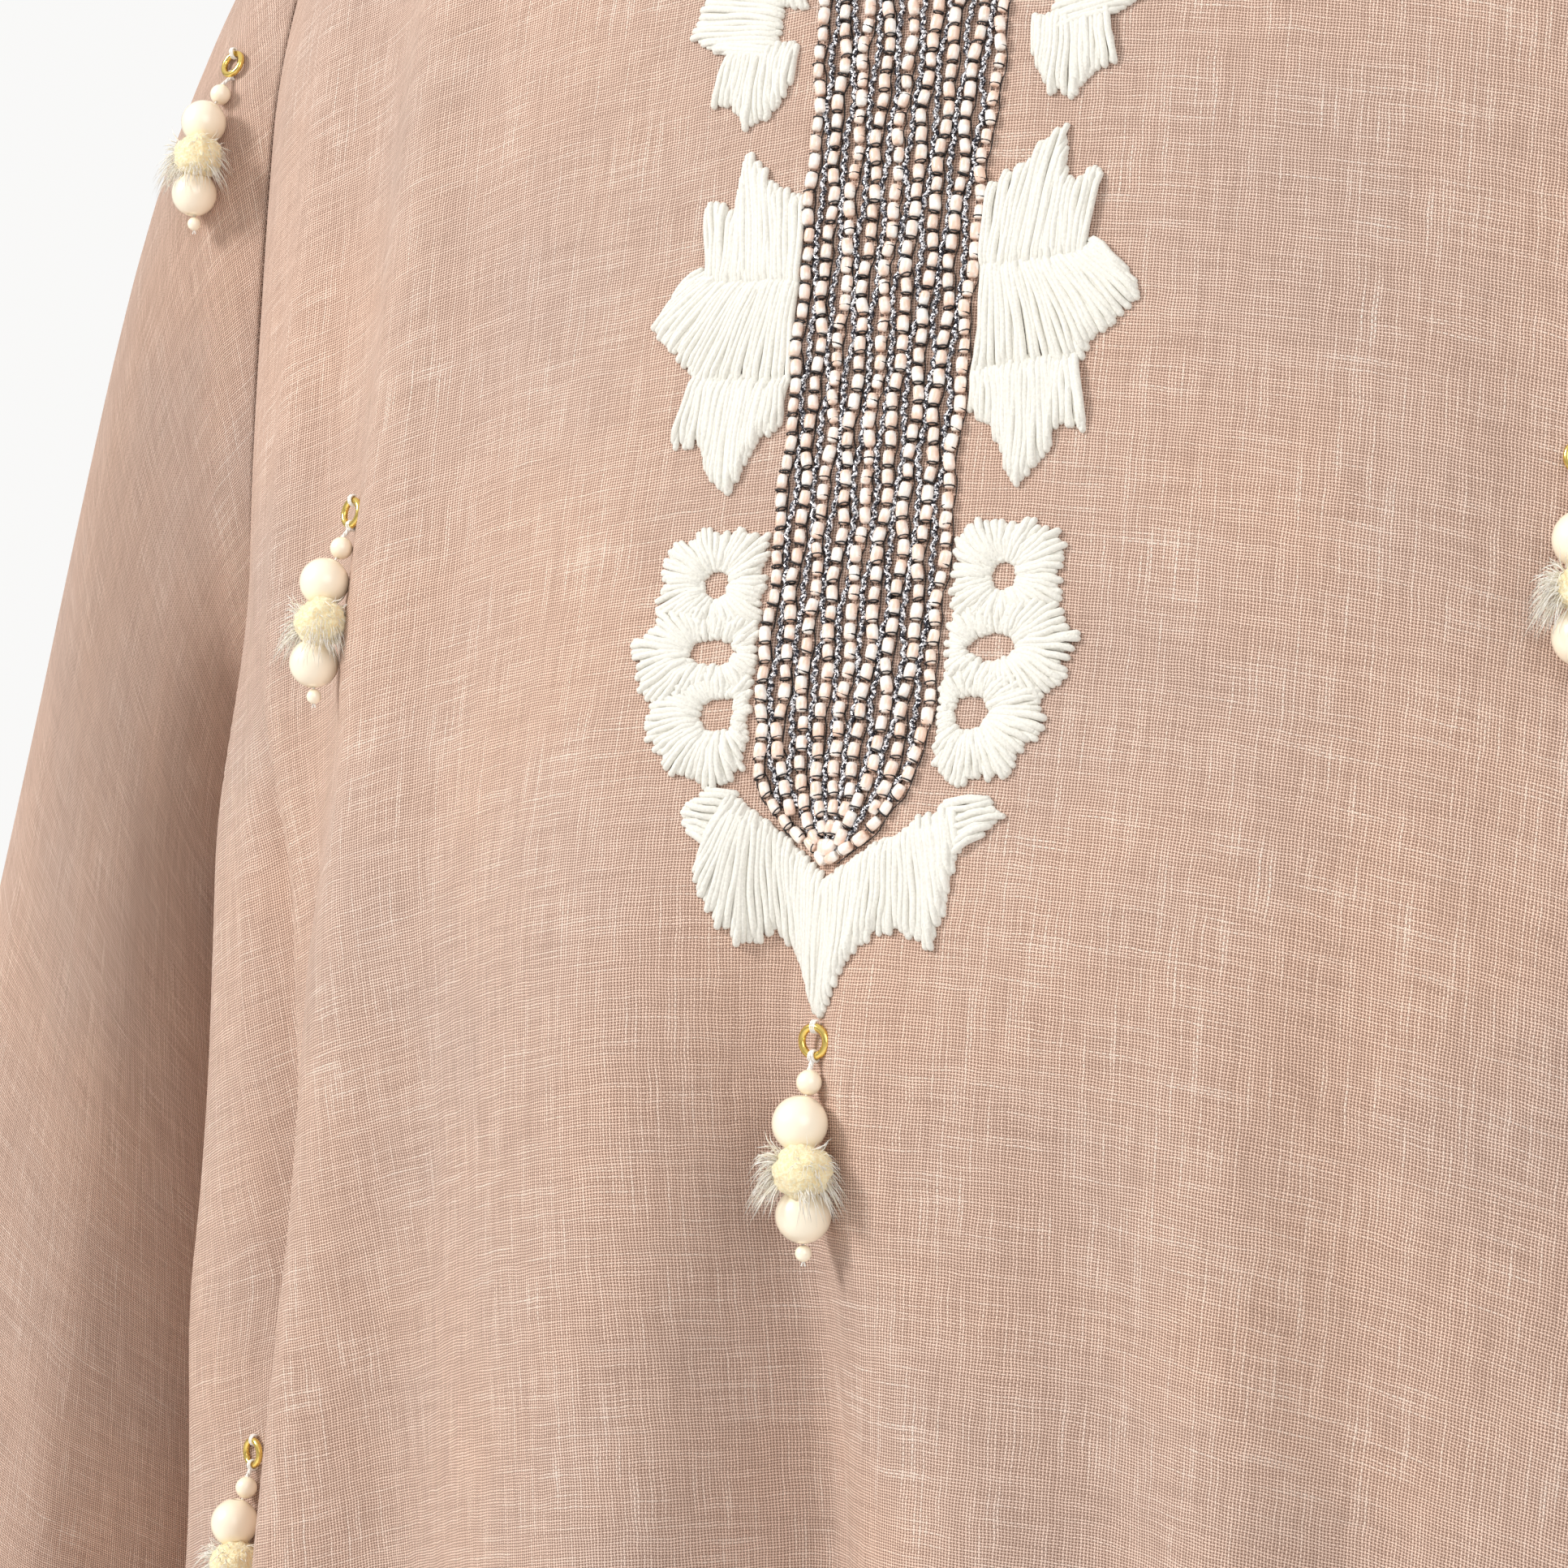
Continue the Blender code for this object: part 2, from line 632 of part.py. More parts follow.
class Hang:
    """The place of a pendant: its stitch on the cloth, the way out from the cloth and the way along it."""

    def __init__(self, cloth, point, out):
        self.cloth = cloth
        self.turn_to(Vector((out[0], out[1], 0)).normalized())
        self.stitch = self.cloth_at(point)
        ahead, behind = self.stitch + self.side * RING, self.stitch - self.side * RING
        along = self.cloth_at(ahead) - self.cloth_at(behind)
        self.turn_to(along.cross(Vector((0, 0, 1))).normalized())

    def turn_to(self, out):
        """Face a way, and keep the way to the side with it."""
        self.out = out
        self.side = Vector((0, 0, 1)).cross(out)

    def cloth_at(self, point):
        """The point of the cloth behind or before a point."""
        return self.cloth.ray_cast(point + self.out * REACH, -self.out, 2 * REACH)[0]

    def height(self, aside, drop):
        """How far the cloth stands out from the stitch, aside and below it."""
        found = self.cloth_at(self.stitch + self.side * aside - Vector((0, 0, drop)))
        return -REACH if found is None else (found - self.stitch).dot(self.out)

    def rest(self, drop, radius):
        """The centre of a ball that hangs at a drop and just clears the cloth."""
        far = []
        for i in range(-3, 4):
            for j in range(-3, 4):
                across, up = i * radius / 3.01, j * radius / 3.01
                inside = radius**2 - across**2 - up**2
                if inside >= 0:
                    far.append(self.height(across, drop + up) + math.sqrt(inside))
        return self.stitch + self.out * (max(far) + HANG_GAP) - Vector((0, 0, drop))


def make_pendant(name, hang, collection):
    """A gold ring on its stitch, and the pearls and pompom that hang from it, all clear of the cloth."""
    hinge = hang.rest(0, RING_WIRE)
    foot = hang.rest(2 * RING, RING_WIRE)
    down = (foot - hinge).normalized()
    centre = hinge + down * RING
    face = hang.side.cross(down)
    make_ring(name + "_ring", centre, face, collection)

    def ball(drop, radius):
        """Where a ball hangs below the ring's centre."""
        return hang.rest(RING + drop, radius)

    small = ball(SMALL_DROP, SMALL_PEARL)
    make_knotted_pearl(name + "_small_pearl", small, centre + down * (RING + RING_WIRE), collection)
    make_pearl(name + "_upper_pearl", PEARL, ball(PEARL_DROP, PEARL), 10, 7, collection)
    make_pompom(name + "_pompom", ball(POMPOM_DROP, PEARL), hang, collection)
    lower = ball(LOWER_DROP, PEARL)
    make_pearl(name + "_lower_pearl", PEARL, lower, 10, 7, collection)
    low = lower - Vector((0, 0, TINY_DROP - LOWER_DROP))
    make_pearl(name + "_tiny_pearl", TINY_PEARL, low, 6, 4, collection)
    anchor = bpy.data.objects.new(name + "_hinge", None)
    anchor.location = hinge
    anchor.empty_display_size = PEARL
    collection.objects.link(anchor)
    bpy.context.view_layer.update()
    for part_name in PENDANT_PARTS:
        piece = bpy.data.objects[f"{name}_{part_name}"]
        piece.parent = anchor
        piece.matrix_parent_inverse = Matrix.Translation(-hinge)
    anchor["axis"] = tuple(-hang.side)


def make_pendants(front, sleeves, collection):
    """The pendants of the centre, the chest and the sleeves."""
    front_tree = cloth_tree([front])
    centre = body_point(True, 0.0, CENTRE_STITCH_Z)
    make_pendant("pendant_centre", Hang(front_tree, centre, (0, -1)), collection)
    for side, word in ((-1, "right"), (1, "left")):
        for level, (x, z, turn) in FRONT_STITCHES.items():
            place = body_point(True, side * s_of_x(x, z), z)
            out = (side * math.sin(math.radians(turn)), -math.cos(math.radians(turn)))
            make_pendant(f"pendant_{level}_{word}", Hang(front_tree, place, out), collection)
        share, turn = SLEEVE_STITCH
        place = sleeve_point(share, math.radians(turn))
        place.x *= side
        sleeve_tree = cloth_tree([sleeves[side]])
        make_pendant(f"pendant_sleeve_{word}", Hang(sleeve_tree, place, (0, -1)), collection)


def clear_scene():
    """Start from an empty scene."""
    for piece in list(bpy.data.objects):
        bpy.data.objects.remove(piece, do_unlink=True)


def main():
    """Make every piece of the dress."""
    clear_scene()
    garment = bpy.data.collections.new("jalabiya")
    helpers = bpy.data.collections.new("cutters")
    for group in (garment, helpers):
        bpy.context.scene.collection.children.link(group)
    front = make_panel("front", True, garment)
    make_panel("back", False, garment)
    sleeves = {-1: make_sleeve("sleeve_right", -1, garment), 1: make_sleeve("sleeve_left", 1, garment)}
    band_slab = front_slab("band_slab", BAND_THICK, helpers)
    cut_pad("bead_band", band_outline(), band_slab, "beads", garment, "MANIFOLD")
    make_motifs(front_slab("wool_slab", PAD_THICK, helpers), garment)
    make_pendants(front, sleeves, garment)


if __name__ == "__main__":
    main()
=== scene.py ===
"""A loose linen jalabiya with a beaded neck band, wool embroidery and hanging pearl pendants.

Metres, +Z up. The front faces -Y and the wearer's left is +X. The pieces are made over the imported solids.
"""

import math

import bmesh
import bpy
import numpy as np
from bpy.props import (
    FloatProperty,
    FloatVectorProperty,
    IntProperty,
    PointerProperty,
)
from mathutils import Matrix, Vector
from mathutils.bvhtree import BVHTree


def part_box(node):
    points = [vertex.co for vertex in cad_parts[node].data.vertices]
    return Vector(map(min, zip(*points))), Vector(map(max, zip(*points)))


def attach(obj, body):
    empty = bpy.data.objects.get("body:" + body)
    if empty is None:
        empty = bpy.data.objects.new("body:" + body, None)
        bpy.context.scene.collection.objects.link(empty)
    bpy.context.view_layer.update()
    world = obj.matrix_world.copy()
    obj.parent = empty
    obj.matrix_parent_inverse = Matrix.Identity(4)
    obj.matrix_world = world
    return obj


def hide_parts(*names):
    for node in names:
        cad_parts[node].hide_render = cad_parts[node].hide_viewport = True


bl_info = {
    "name": "Jalabiya",
    "version": (1, 0, 0),
    "blender": (4, 5, 0),
    "location": "View3D > Sidebar > Jalabiya",
    "description": "Makes the cloth, beadwork, embroidery and pendants of a jalabiya",
    "category": "Object",
}

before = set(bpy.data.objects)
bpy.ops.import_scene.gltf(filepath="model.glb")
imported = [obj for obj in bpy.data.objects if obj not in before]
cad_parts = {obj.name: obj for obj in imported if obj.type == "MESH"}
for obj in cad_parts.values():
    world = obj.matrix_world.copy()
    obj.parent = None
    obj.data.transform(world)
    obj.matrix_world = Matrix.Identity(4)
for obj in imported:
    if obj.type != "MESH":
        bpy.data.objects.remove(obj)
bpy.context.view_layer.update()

# The cut and the drape, as the solids have them
CLOTH = 0.0009
SEAM_GAP = 0.0006
ARMHOLE_GAP = 0.0009
HEM_Z = -1.40
UNDERARM_Z = -0.27
NECK_X = 0.085
SHOULDER_FALL = 0.40
SHOULDER_ROUND = 0.085
SECTION_POWER = 2.5
SLIT_TIP_Z = -0.125
SLIT_TOP_X = 0.013
SLIT_TOP_Z = -0.078
BACK_NECK_Z = -0.022
ARMHOLE_S = 0.78
SHOULDER_Z = -0.05
NECK_ROUND = 1.15
ARMHOLE_TURN_Z = -0.19
SLIT_SHARE = 0.10
NECK_SHARE = 0.45

BODY_COLUMNS = ("z", "half_width", "front", "back")
BODY = (
    (0.04, 0.198, 0.055, 0.060),
    (-0.06, 0.201, 0.078, 0.088),
    (-0.125, 0.204, 0.095, 0.104),
    (-0.20, 0.204, 0.110, 0.113),
    (-0.25, 0.201, 0.1205, 0.113),
    (-0.30, 0.197, 0.1325, 0.110),
    (-0.35, 0.197, 0.1350, 0.108),
    (-0.41, 0.202, 0.1350, 0.107),
    (-0.47, 0.207, 0.1350, 0.109),
    (-0.60, 0.217, 0.140, 0.118),
    (-1.00, 0.264, 0.172, 0.156),
    (-1.40, 0.335, 0.212, 0.200),
)

# The main folds: a place round the body (0 centre front, 1 and -1 the side seams, 2 centre back), half its
# width, its depth out of the cloth, the heights where it starts and is full, and its lean.
FOLDS = (
    (-0.022, 0.085, -0.0125, -0.27, -0.43, 0.00),
    (-0.160, 0.120, 0.0090, -0.15, -0.36, -0.02),
    (0.100, 0.080, 0.0040, -0.34, -0.50, 0.00),
    (0.170, 0.090, -0.0050, -0.29, -0.40, 0.02),
    (0.250, 0.080, 0.0035, -0.27, -0.42, 0.03),
    (0.325, 0.080, -0.0040, -0.19, -0.38, 0.04),
    (0.455, 0.120, 0.0110, -0.30, -0.60, 0.03),
    (0.610, 0.110, -0.0120, -0.36, -0.70, 0.02),
    (0.780, 0.130, 0.0120, -0.42, -0.80, 0.02),
    (1.000, 0.160, -0.0080, -0.45, -0.90, 0.00),
    (-0.345, 0.110, -0.0110, -0.24, -0.46, -0.03),
    (-0.455, 0.100, 0.0110, -0.26, -0.50, -0.06),
    (-0.605, 0.100, -0.0120, -0.22, -0.44, -0.04),
    (-0.770, 0.120, 0.0100, -0.28, -0.54, -0.01),
    (-1.000, 0.150, -0.0090, -0.45, -0.85, 0.00),
    (1.220, 0.130, 0.0120, -0.40, -0.80, 0.02),
    (1.420, 0.130, -0.0130, -0.32, -0.70, 0.02),
    (1.620, 0.130, 0.0120, -0.26, -0.66, 0.01),
    (1.800, 0.120, -0.0110, -0.22, -0.60, 0.00),
    (1.970, 0.130, 0.0100, -0.30, -0.62, 0.00),
    (2.150, 0.120, -0.0120, -0.25, -0.64, 0.00),
    (2.340, 0.130, 0.0120, -0.30, -0.68, -0.01),
    (2.540, 0.130, -0.0120, -0.34, -0.72, -0.02),
    (2.760, 0.130, 0.0110, -0.42, -0.80, -0.02),
)
FOLD_GROWTH = 1.5
FOLD_GROWTH_FROM = -0.42

# The soft creases that the solids are too coarse for: place, half width, depth, the heights between which
# it comes up and dies away, and its lean.
CREASES = (
    (-0.026, 0.052, -0.0058, -0.24, -0.31, -0.62, -0.85, 0.03),
    (-0.490, 0.095, -0.0052, -0.04, -0.10, -0.25, -0.31, 0.00),
    (-0.385, 0.065, 0.0036, -0.04, -0.10, -0.30, -0.38, 0.00),
    (-0.530, 0.100, -0.0092, -0.25, -0.30, -0.46, -0.62, 0.00),
    (-0.615, 0.055, -0.0085, -0.25, -0.29, -0.37, -0.405, 0.00),
    (-0.740, 0.085, 0.0066, -0.22, -0.29, -0.37, -0.45, 0.00),
    (-0.115, 0.070, 0.0032, -0.27, -0.32, -0.60, -0.85, 0.00),
    (-0.560, 0.050, 0.0016, -0.10, -0.20, -0.46, -0.60, -0.03),
    (-0.300, 0.040, -0.0010, -0.14, -0.22, -0.34, -0.44, -0.05),
    (-0.410, 0.050, 0.0012, -0.18, -0.30, -0.50, -0.66, 0.02),
    (0.120, 0.040, 0.0008, -0.30, -0.36, -0.44, -0.56, 0.03),
    (0.400, 0.050, -0.0014, -0.14, -0.24, -0.42, -0.60, 0.05),
    (0.540, 0.060, 0.0015, -0.12, -0.22, -0.40, -0.55, 0.04),
    (0.690, 0.050, -0.0016, -0.16, -0.26, -0.50, -0.70, 0.02),
    (-0.710, 0.050, -0.0016, -0.18, -0.28, -0.50, -0.72, -0.02),
    (0.020, 0.070, 0.0018, -0.55, -0.70, -0.95, -1.20, 0.02),
    (-0.270, 0.070, 0.0022, -0.60, -0.80, -1.10, -1.35, 0.01),
    (0.540, 0.060, 0.0020, -0.70, -0.85, -1.15, -1.38, -0.02),
    (1.130, 0.060, 0.0018, -0.30, -0.45, -0.80, -1.00, 0.02),
    (1.330, 0.060, -0.0016, -0.16, -0.30, -0.62, -0.85, -0.03),
    (1.530, 0.050, 0.0015, -0.10, -0.20, -0.45, -0.62, 0.04),
    (1.710, 0.050, 0.0014, -0.35, -0.50, -0.90, -1.10, 0.02),
    (1.900, 0.050, -0.0012, -0.12, -0.20, -0.40, -0.55, -0.02),
    (2.060, 0.060, 0.0016, -0.16, -0.30, -0.70, -0.95, 0.03),
    (2.250, 0.050, -0.0015, -0.30, -0.42, -0.75, -0.92, 0.02),
    (2.440, 0.060, 0.0016, -0.12, -0.22, -0.50, -0.70, -0.04),
    (2.650, 0.060, 0.0014, -0.40, -0.55, -0.95, -1.20, 0.01),
    (2.860, 0.060, -0.0016, -0.25, -0.40, -0.80, -1.05, 0.02),
)

SLEEVE_COLUMNS = ("along", "outer_x", "outer_z", "inner_x", "inner_z", "half_depth")
SLEEVE = (
    (0.00, 0.191, -0.0420, 0.2000, -0.270, 0.055),
    (0.10, 0.212, -0.062, 0.2055, -0.281, 0.058),
    (0.25, 0.237, -0.117, 0.2100, -0.322, 0.062),
    (0.50, 0.272, -0.262, 0.2140, -0.410, 0.070),
    (0.75, 0.309, -0.425, 0.2240, -0.515, 0.082),
    (1.00, 0.350, -0.590, 0.2460, -0.625, 0.095),
)
# The sleeve's folds and creases: turn in degrees from the shoulder towards the front, half width, depth and
# where along it they start.
SLEEVE_FOLDS = (
    (55, 30, 0.006, 0.25),
    (95, 26, -0.008, 0.30),
    (160, 32, 0.008, 0.10),
    (215, 30, -0.007, 0.25),
    (255, 28, 0.007, 0.20),
    (300, 28, -0.007, 0.35),
)
SLEEVE_CREASES = (
    (30, 10, 0.0014, 0.30),
    (74, 9, 0.0012, 0.18),
    (118, 10, 0.0013, 0.35),
    (190, 12, 0.0015, 0.30),
    (238, 10, -0.0013, 0.25),
    (282, 10, 0.0014, 0.40),
    (334, 12, -0.0013, 0.15),
)

# How the weft lines fall away from the centre front, and how far the linen is from even
WEFT_FALL = 1.2
WEFT_FALL_REACH = 0.13
UNEVEN = 0.00035

# The neck band: its half width below the slit, the width of its arms beside the neck, how far its last rows
# stay inside its edge, how much of the neck's edge the arms follow and how many rows each half has
BAND_COLUMNS = ("z", "half_width")
BAND = ((-0.125, 0.0205), (-0.16, 0.0190), (-0.20, 0.0184), (-0.255, 0.0184), (-0.268, 0.0174),
        (-0.277, 0.0118), (-0.2850, 0.0))
BAND_ARM = 0.0178
BAND_EDGE = 0.0012
BAND_END = 0.93
ROWS_A_SIDE = 4
# How far inside the rows at the edge the other bead rows and the cords end, near the band's point
BEAD_CLEAR = 0.0030
CORD_CLEAR = 0.0017
# How sewn rows stray from their lines: how far, over what length, and how this shifts from row to row
WANDER = ((0.00042, 0.0045, 0.9), (0.00030, 0.0021, 2.3))
WANDER_START = 0.004

# The wool embroidery on the wearer's left, in millimetres from the centre line and the shoulder: each fan of
# strands runs from the first line to the second.
WOOL_FANS = (
    ("leaf", ((19.4, -178), (39, -177)),
     ((19.6, -161), (27, -157.5), (33, -151.5), (34.5, -162), (41.5, -160))),
    ("leaf", ((19.4, -176), (33, -176), (41, -173.5)),
     ((19.4, -197.5), (31, -196), (39.5, -196), (45, -189.5), (51, -184.5), (46.5, -178.5))),
    ("leaf", ((19.4, -195), (39, -194)),
     ((19.8, -204), (25, -208), (30, -217.5), (35, -212), (36, -207), (42.5, -208))),
    ("top", ((24, -124), (38, -121)), ((28.6, -117), (33, -105), (37, -109), (40, -102), (44, -107))),
    ("top", ((29, -116), (29, -134)), ((47, -110), (49.5, -112), (47.5, -119), (50, -127), (43, -131))),
    ("top", ((25, -131), (39, -130)), ((26, -139), (30, -146), (34, -147), (38, -142), (42, -142))),
    ("crown_left", ((0, -287.0), (18.5, -276.0)),
     ((0.7, -312), (3.4, -306), (5.6, -301.5), (8.6, -298.5), (13.0, -296.0), (17.0, -296.0), (22.8, -299))),
    ("crown_left", ((18.0, -276.5), (24.5, -273.4)),
     ((22.8, -299), (25.0, -293), (25.7, -287), (27.0, -281))),
    ("crown_left", ((22.5, -273.5), (25.5, -282.5)), ((31.0, -272.8), (35.2, -275), (31.5, -278.5))),
    ("crown_right", ((0, -287.0), (17.0, -275.0)),
     ((0, -312), (1.8, -308), (6.6, -300.5), (10.9, -296.5), (16.7, -299.5))),
    ("crown_right", ((16.5, -275.5), (21.0, -272.0)),
     ((16.7, -299.5), (22.8, -293), (25.7, -286.5), (24.5, -281))),
    ("crown_right", ((19.5, -272.0), (23.0, -281.5)), ((27.0, -271.5), (30.0, -275), (28.5, -279))),
)
# How high the strands lie, a lower one between every two, and how far apart they are, in strand widths
WOOL_LIFTS = (0.00095, 0.00035)
WOOL_PITCH = 0.50
# The petals: the middle of the hole, half its width and height, and how far the strands reach at each turn,
# in degrees from the wearer's left towards up. None of them passes the band's edge.
PETAL_EDGE = 19.4
WOOL_PETALS = (
    ("petals", (29.5, -233.5), (2.9, 3.0),
     ((-75, 8), (-45, 11.0), (-20, 12.4), (0, 11.2), (20, 12.8), (38, 12.6), (52, 10.4), (68, 11.2),
      (90, 9.6), (112, 11.4), (150, 14), (200, 13), (285, 8))),
    ("petals", (28.6, -246.0), (5.0, 2.8),
     ((-80, 8), (-45, 14.2), (-22, 15.6), (-10, 14.8), (5, 16.6), (20, 14.6), (38, 14.0), (75, 8.0),
      (130, 10), (230, 10), (280, 8))),
    ("petals", (25.8, -257.5), (3.7, 3.6),
     ((-120, 12.0), (-95, 13.6), (-72, 12.2), (-55, 14.4), (-35, 13.0), (-15, 14.6), (15, 14.0), (45, 10.0),
      (90, 8), (180, 10), (240, 12.0))),
)

# The pendants: the radii of the pearls, of a ring and its wire, of the thread's laps on the ring, of the
# pompom's core, of the ball that its short threads stand on and of the skin that its fibres stand on.
# NAP_AREA sets how close the short threads are. The core stands off its solid's middle. The fibres droop
# beyond their straight part, by the square of how far out they reach.
PEARL = 0.0050
SMALL_PEARL = 0.0023
TINY_PEARL = 0.0015
RING = 0.0026
RING_WIRE = 0.0007
LAP = 0.00098
CORE = 0.0054
NAP_BALL = 0.0048
NAP_AREA = 0.00027
FIBRE_SKIN = 0.0030
POMPOM_SHIFT = (0.0017, -0.0009, 0.0)
FIBRE_DROOP = 170.0
FIBRE_STRAIGHT = 0.0035
PENDANTS = (
    "pendant_centre",
    "pendant_chest_right",
    "pendant_chest_left",
    "pendant_side_right",
    "pendant_side_left",
    "pendant_sleeve_right",
    "pendant_sleeve_left",
)

# The hem's stitches: their height, how far they lie out from the cloth, and their spacing
HEM_STITCH_Z = -1.380
STITCH_LIFT = 0.00012
STITCH_PITCH = 0.0029

CAMERA_PLACE = (0.3408, -0.7104, -0.27)
CAMERA_TURN = math.radians(31)
CAMERA_LENS = 87.3


def colour_setting(label, about, colour):
    """A colour that a user would change."""
    return FloatVectorProperty(
        name=label, description=about, subtype="COLOR", size=4, default=(*colour, 1.0), min=0, max=1
    )


def length_setting(label, about, metres):
    """A length that a user would change."""
    return FloatProperty(name=label, description=about, default=metres, unit="LENGTH")


class JalabiyaSettings(bpy.types.PropertyGroup):
    """The sizes and colours that a user would change."""

    linen_colour: colour_setting("Linen colour", "Colour of the linen threads", (0.96, 0.715, 0.585))
    slub_colour: colour_setting("Slub colour", "Colour of the pale thick threads", (1.0, 0.90, 0.80))
    # The gap colour is painted shade, laid where the threads dip between each other
    gap_shade_colour: colour_setting("Gap colour", "Colour seen between the threads", (0.22, 0.12, 0.08))
    wool_colour: colour_setting("Wool colour", "Colour of the embroidery wool", (0.85, 0.83, 0.76))
    # The bead colour is painted sheen: it fills the beads' paler patches, over their own peach
    bead_sheen_colour: colour_setting("Bead colour", "Colour of the tube beads", (1.0, 0.95, 0.89))
    pearl_colour: colour_setting("Pearl colour", "Colour of the pearls", (1.0, 0.95, 0.86))
    gold_colour: colour_setting("Gold colour", "Colour of the rings", (0.93, 0.69, 0.20))
    warp_pitch: length_setting("Warp pitch", "Distance between the upright threads", 0.00060)
    weft_pitch: length_setting("Weft pitch", "Distance between the level threads", 0.00053)
    bead_length: length_setting("Bead length", "Length of a tube bead", 0.0030)
    bead_width: length_setting("Bead width", "Width of a tube bead", 0.0021)
    bead_pitch: length_setting("Bead pitch", "Distance from one bead to the next", 0.0036)
    cord_width: length_setting("Cord width", "Width of a glitter cord", 0.00150)
    wool_width: length_setting("Wool width", "Thickness of a wool strand", 0.00140)
    pompom_fibres: IntProperty(
        name="Pompom fibres", description="Number of fibres in each pompom", default=380, min=20,
    )
    pompom_nap: IntProperty(
        name="Pompom nap", description="Number of short threads on each pompom's core", default=350, min=20,
    )
    seed: IntProperty(name="Seed", description="Start of the random numbers", default=7, min=0)


def settings():
    """The settings of this scene."""
    return bpy.context.scene.jalabiya


# The form of the cloth


def smooth(value):
    """0 to 1 with level ends."""
    value = np.clip(value, 0.0, 1.0)
    return value * value * (3 - 2 * value)


def read(table, names, column, at):
    """A column's values where the first column is `at`, on a smooth curve through the rows."""
    rows = np.array(sorted((row[0], row[names.index(column)]) for row in table))
    x, y = rows[:, 0], rows[:, 1]
    number = np.arange(len(x))
    before, after = np.maximum(number - 1, 0), np.minimum(number + 1, len(x) - 1)
    slope = (y[after] - y[before]) / (x[after] - x[before])
    at = np.clip(at, x[0], x[-1])
    i = np.clip(np.searchsorted(x, at, side="right") - 1, 0, len(x) - 2)
    width = x[i + 1] - x[i]
    t = (at - x[i]) / width
    return (
        y[i] * (1 + 2 * t) * (1 - t) ** 2
        + slope[i] * width * t * (1 - t) ** 2
        + y[i + 1] * t * t * (3 - 2 * t)
        + slope[i + 1] * width * t * t * (t - 1)
    )


def ridge(distance, half_width):
    """A round ridge of height 1 that ends at its half width."""
    return np.where(np.abs(distance) < half_width, 0.5 + 0.5 * np.cos(np.pi * distance / half_width), 0.0)


def round_the_body(away):
    """A distance round the body, the short way."""
    return (away + 2) % 4 - 2


def fold_depth(place, z):
    """How far the folds and creases move the cloth out."""
    growth = 1 + FOLD_GROWTH * smooth((FOLD_GROWTH_FROM - z) / (FOLD_GROWTH_FROM - HEM_Z))
    depth = np.zeros(np.broadcast(place, z).shape)
    for centre, half_width, height, z_start, z_full, lean in FOLDS:
        strength = smooth((z_start - z) / (z_start - z_full))
        depth += height * strength * ridge(round_the_body(place - centre - lean * (z_start - z)), half_width)
    depth *= growth
    for centre, half_width, height, z_start, z_full, z_fade, z_end, lean in CREASES:
        strength = smooth((z_start - z) / (z_start - z_full)) * smooth((z - z_end) / (z_fade - z_end))
        depth += height * strength * ridge(round_the_body(place - centre - lean * (z_start - z)), half_width)
    return depth


def base_points(front, s, z):
    """Points of the body's smooth form. s runs from -1 at the wearer's right side seam to 1 at the left."""
    s, z = np.broadcast_arrays(s, z)
    half_width = read(BODY, BODY_COLUMNS, "half_width", z)
    deep = read(BODY, BODY_COLUMNS, "front" if front else "back", z)
    across = np.sin(s * np.pi / 2)
    x = half_width * across
    below = np.clip((-SHOULDER_FALL * (np.abs(x) - NECK_X) - z) / SHOULDER_ROUND, 0.0, 1.0)
    over_shoulder = np.sqrt(1 - (1 - below) ** 2)
    y = deep * over_shoulder * np.maximum(1 - np.abs(across) ** SECTION_POWER, 0.0) ** (1 / SECTION_POWER)
    return np.stack([x, -y if front else y, z], axis=-1)


def unit(vectors):
    """Vectors of length 1."""
    return vectors / np.maximum(np.linalg.norm(vectors, axis=-1, keepdims=True), 1e-12)


def run_of(path):
    """How far along a path each of its points lies."""
    steps = np.linalg.norm(np.diff(np.array(path, float), axis=0), axis=1)
    return np.concatenate([[0], np.cumsum(steps)])


def across_of(path):
    """The way across a path of (x, z) at each of its points."""
    along = unit(np.gradient(path, axis=0))
    return np.stack([-along[:, 1], along[:, 0]], axis=1)


def body_points(front, s, z):
    """Points of the cloth, with its folds."""
    step = 0.01
    s, z = np.broadcast_arrays(s, z)
    depth = fold_depth(s if front else 2 - s, z)
    along = base_points(front, np.minimum(s + step, 1), z) - base_points(front, np.maximum(s - step, -1), z)
    out = unit(np.stack([along[..., 1], -along[..., 0], np.zeros(s.shape)], axis=-1))
    if not front:
        out = -out
    at_seam = np.abs(s) > 1 - step
    out[at_seam] = np.stack([np.sign(s), np.zeros(s.shape), np.zeros(s.shape)], axis=-1)[at_seam]
    return base_points(front, s, z) + out * depth[..., None]


def s_of_x(x, z):
    """The s of a point that lies x from the centre line."""
    return np.arcsin(np.clip(x / read(BODY, BODY_COLUMNS, "half_width", z), -1, 1)) * 2 / np.pi


def armhole(turn):
    """(s, z) on the armhole, from the shoulder (0) to the underarm (pi)."""
    shoulder_x = base_points(True, ARMHOLE_S, SHOULDER_Z)[0]
    shoulder_z = -SHOULDER_FALL * (shoulder_x - NECK_X)
    z = shoulder_z + (UNDERARM_Z - shoulder_z) * (1 - np.cos(turn)) / 2
    low = np.maximum((ARMHOLE_TURN_Z - z) / (ARMHOLE_TURN_Z - UNDERARM_Z), 0.0)
    return 1 - (1 - ARMHOLE_S) * np.sqrt(np.maximum(1 - low * low, 0.0)), z


def neck_edge(front, share):
    """(x, z) along half of the neck's edge, from the centre (0) to the shoulder seam (1)."""
    turn = share * np.pi / 2
    if front:
        x = SLIT_TOP_X + (NECK_X - SLIT_TOP_X) * np.sin(turn) ** NECK_ROUND
        return x, SLIT_TOP_Z * np.maximum(np.cos(turn), 0.0) ** NECK_ROUND
    return NECK_X * np.sin(turn), BACK_NECK_Z * np.cos(turn)


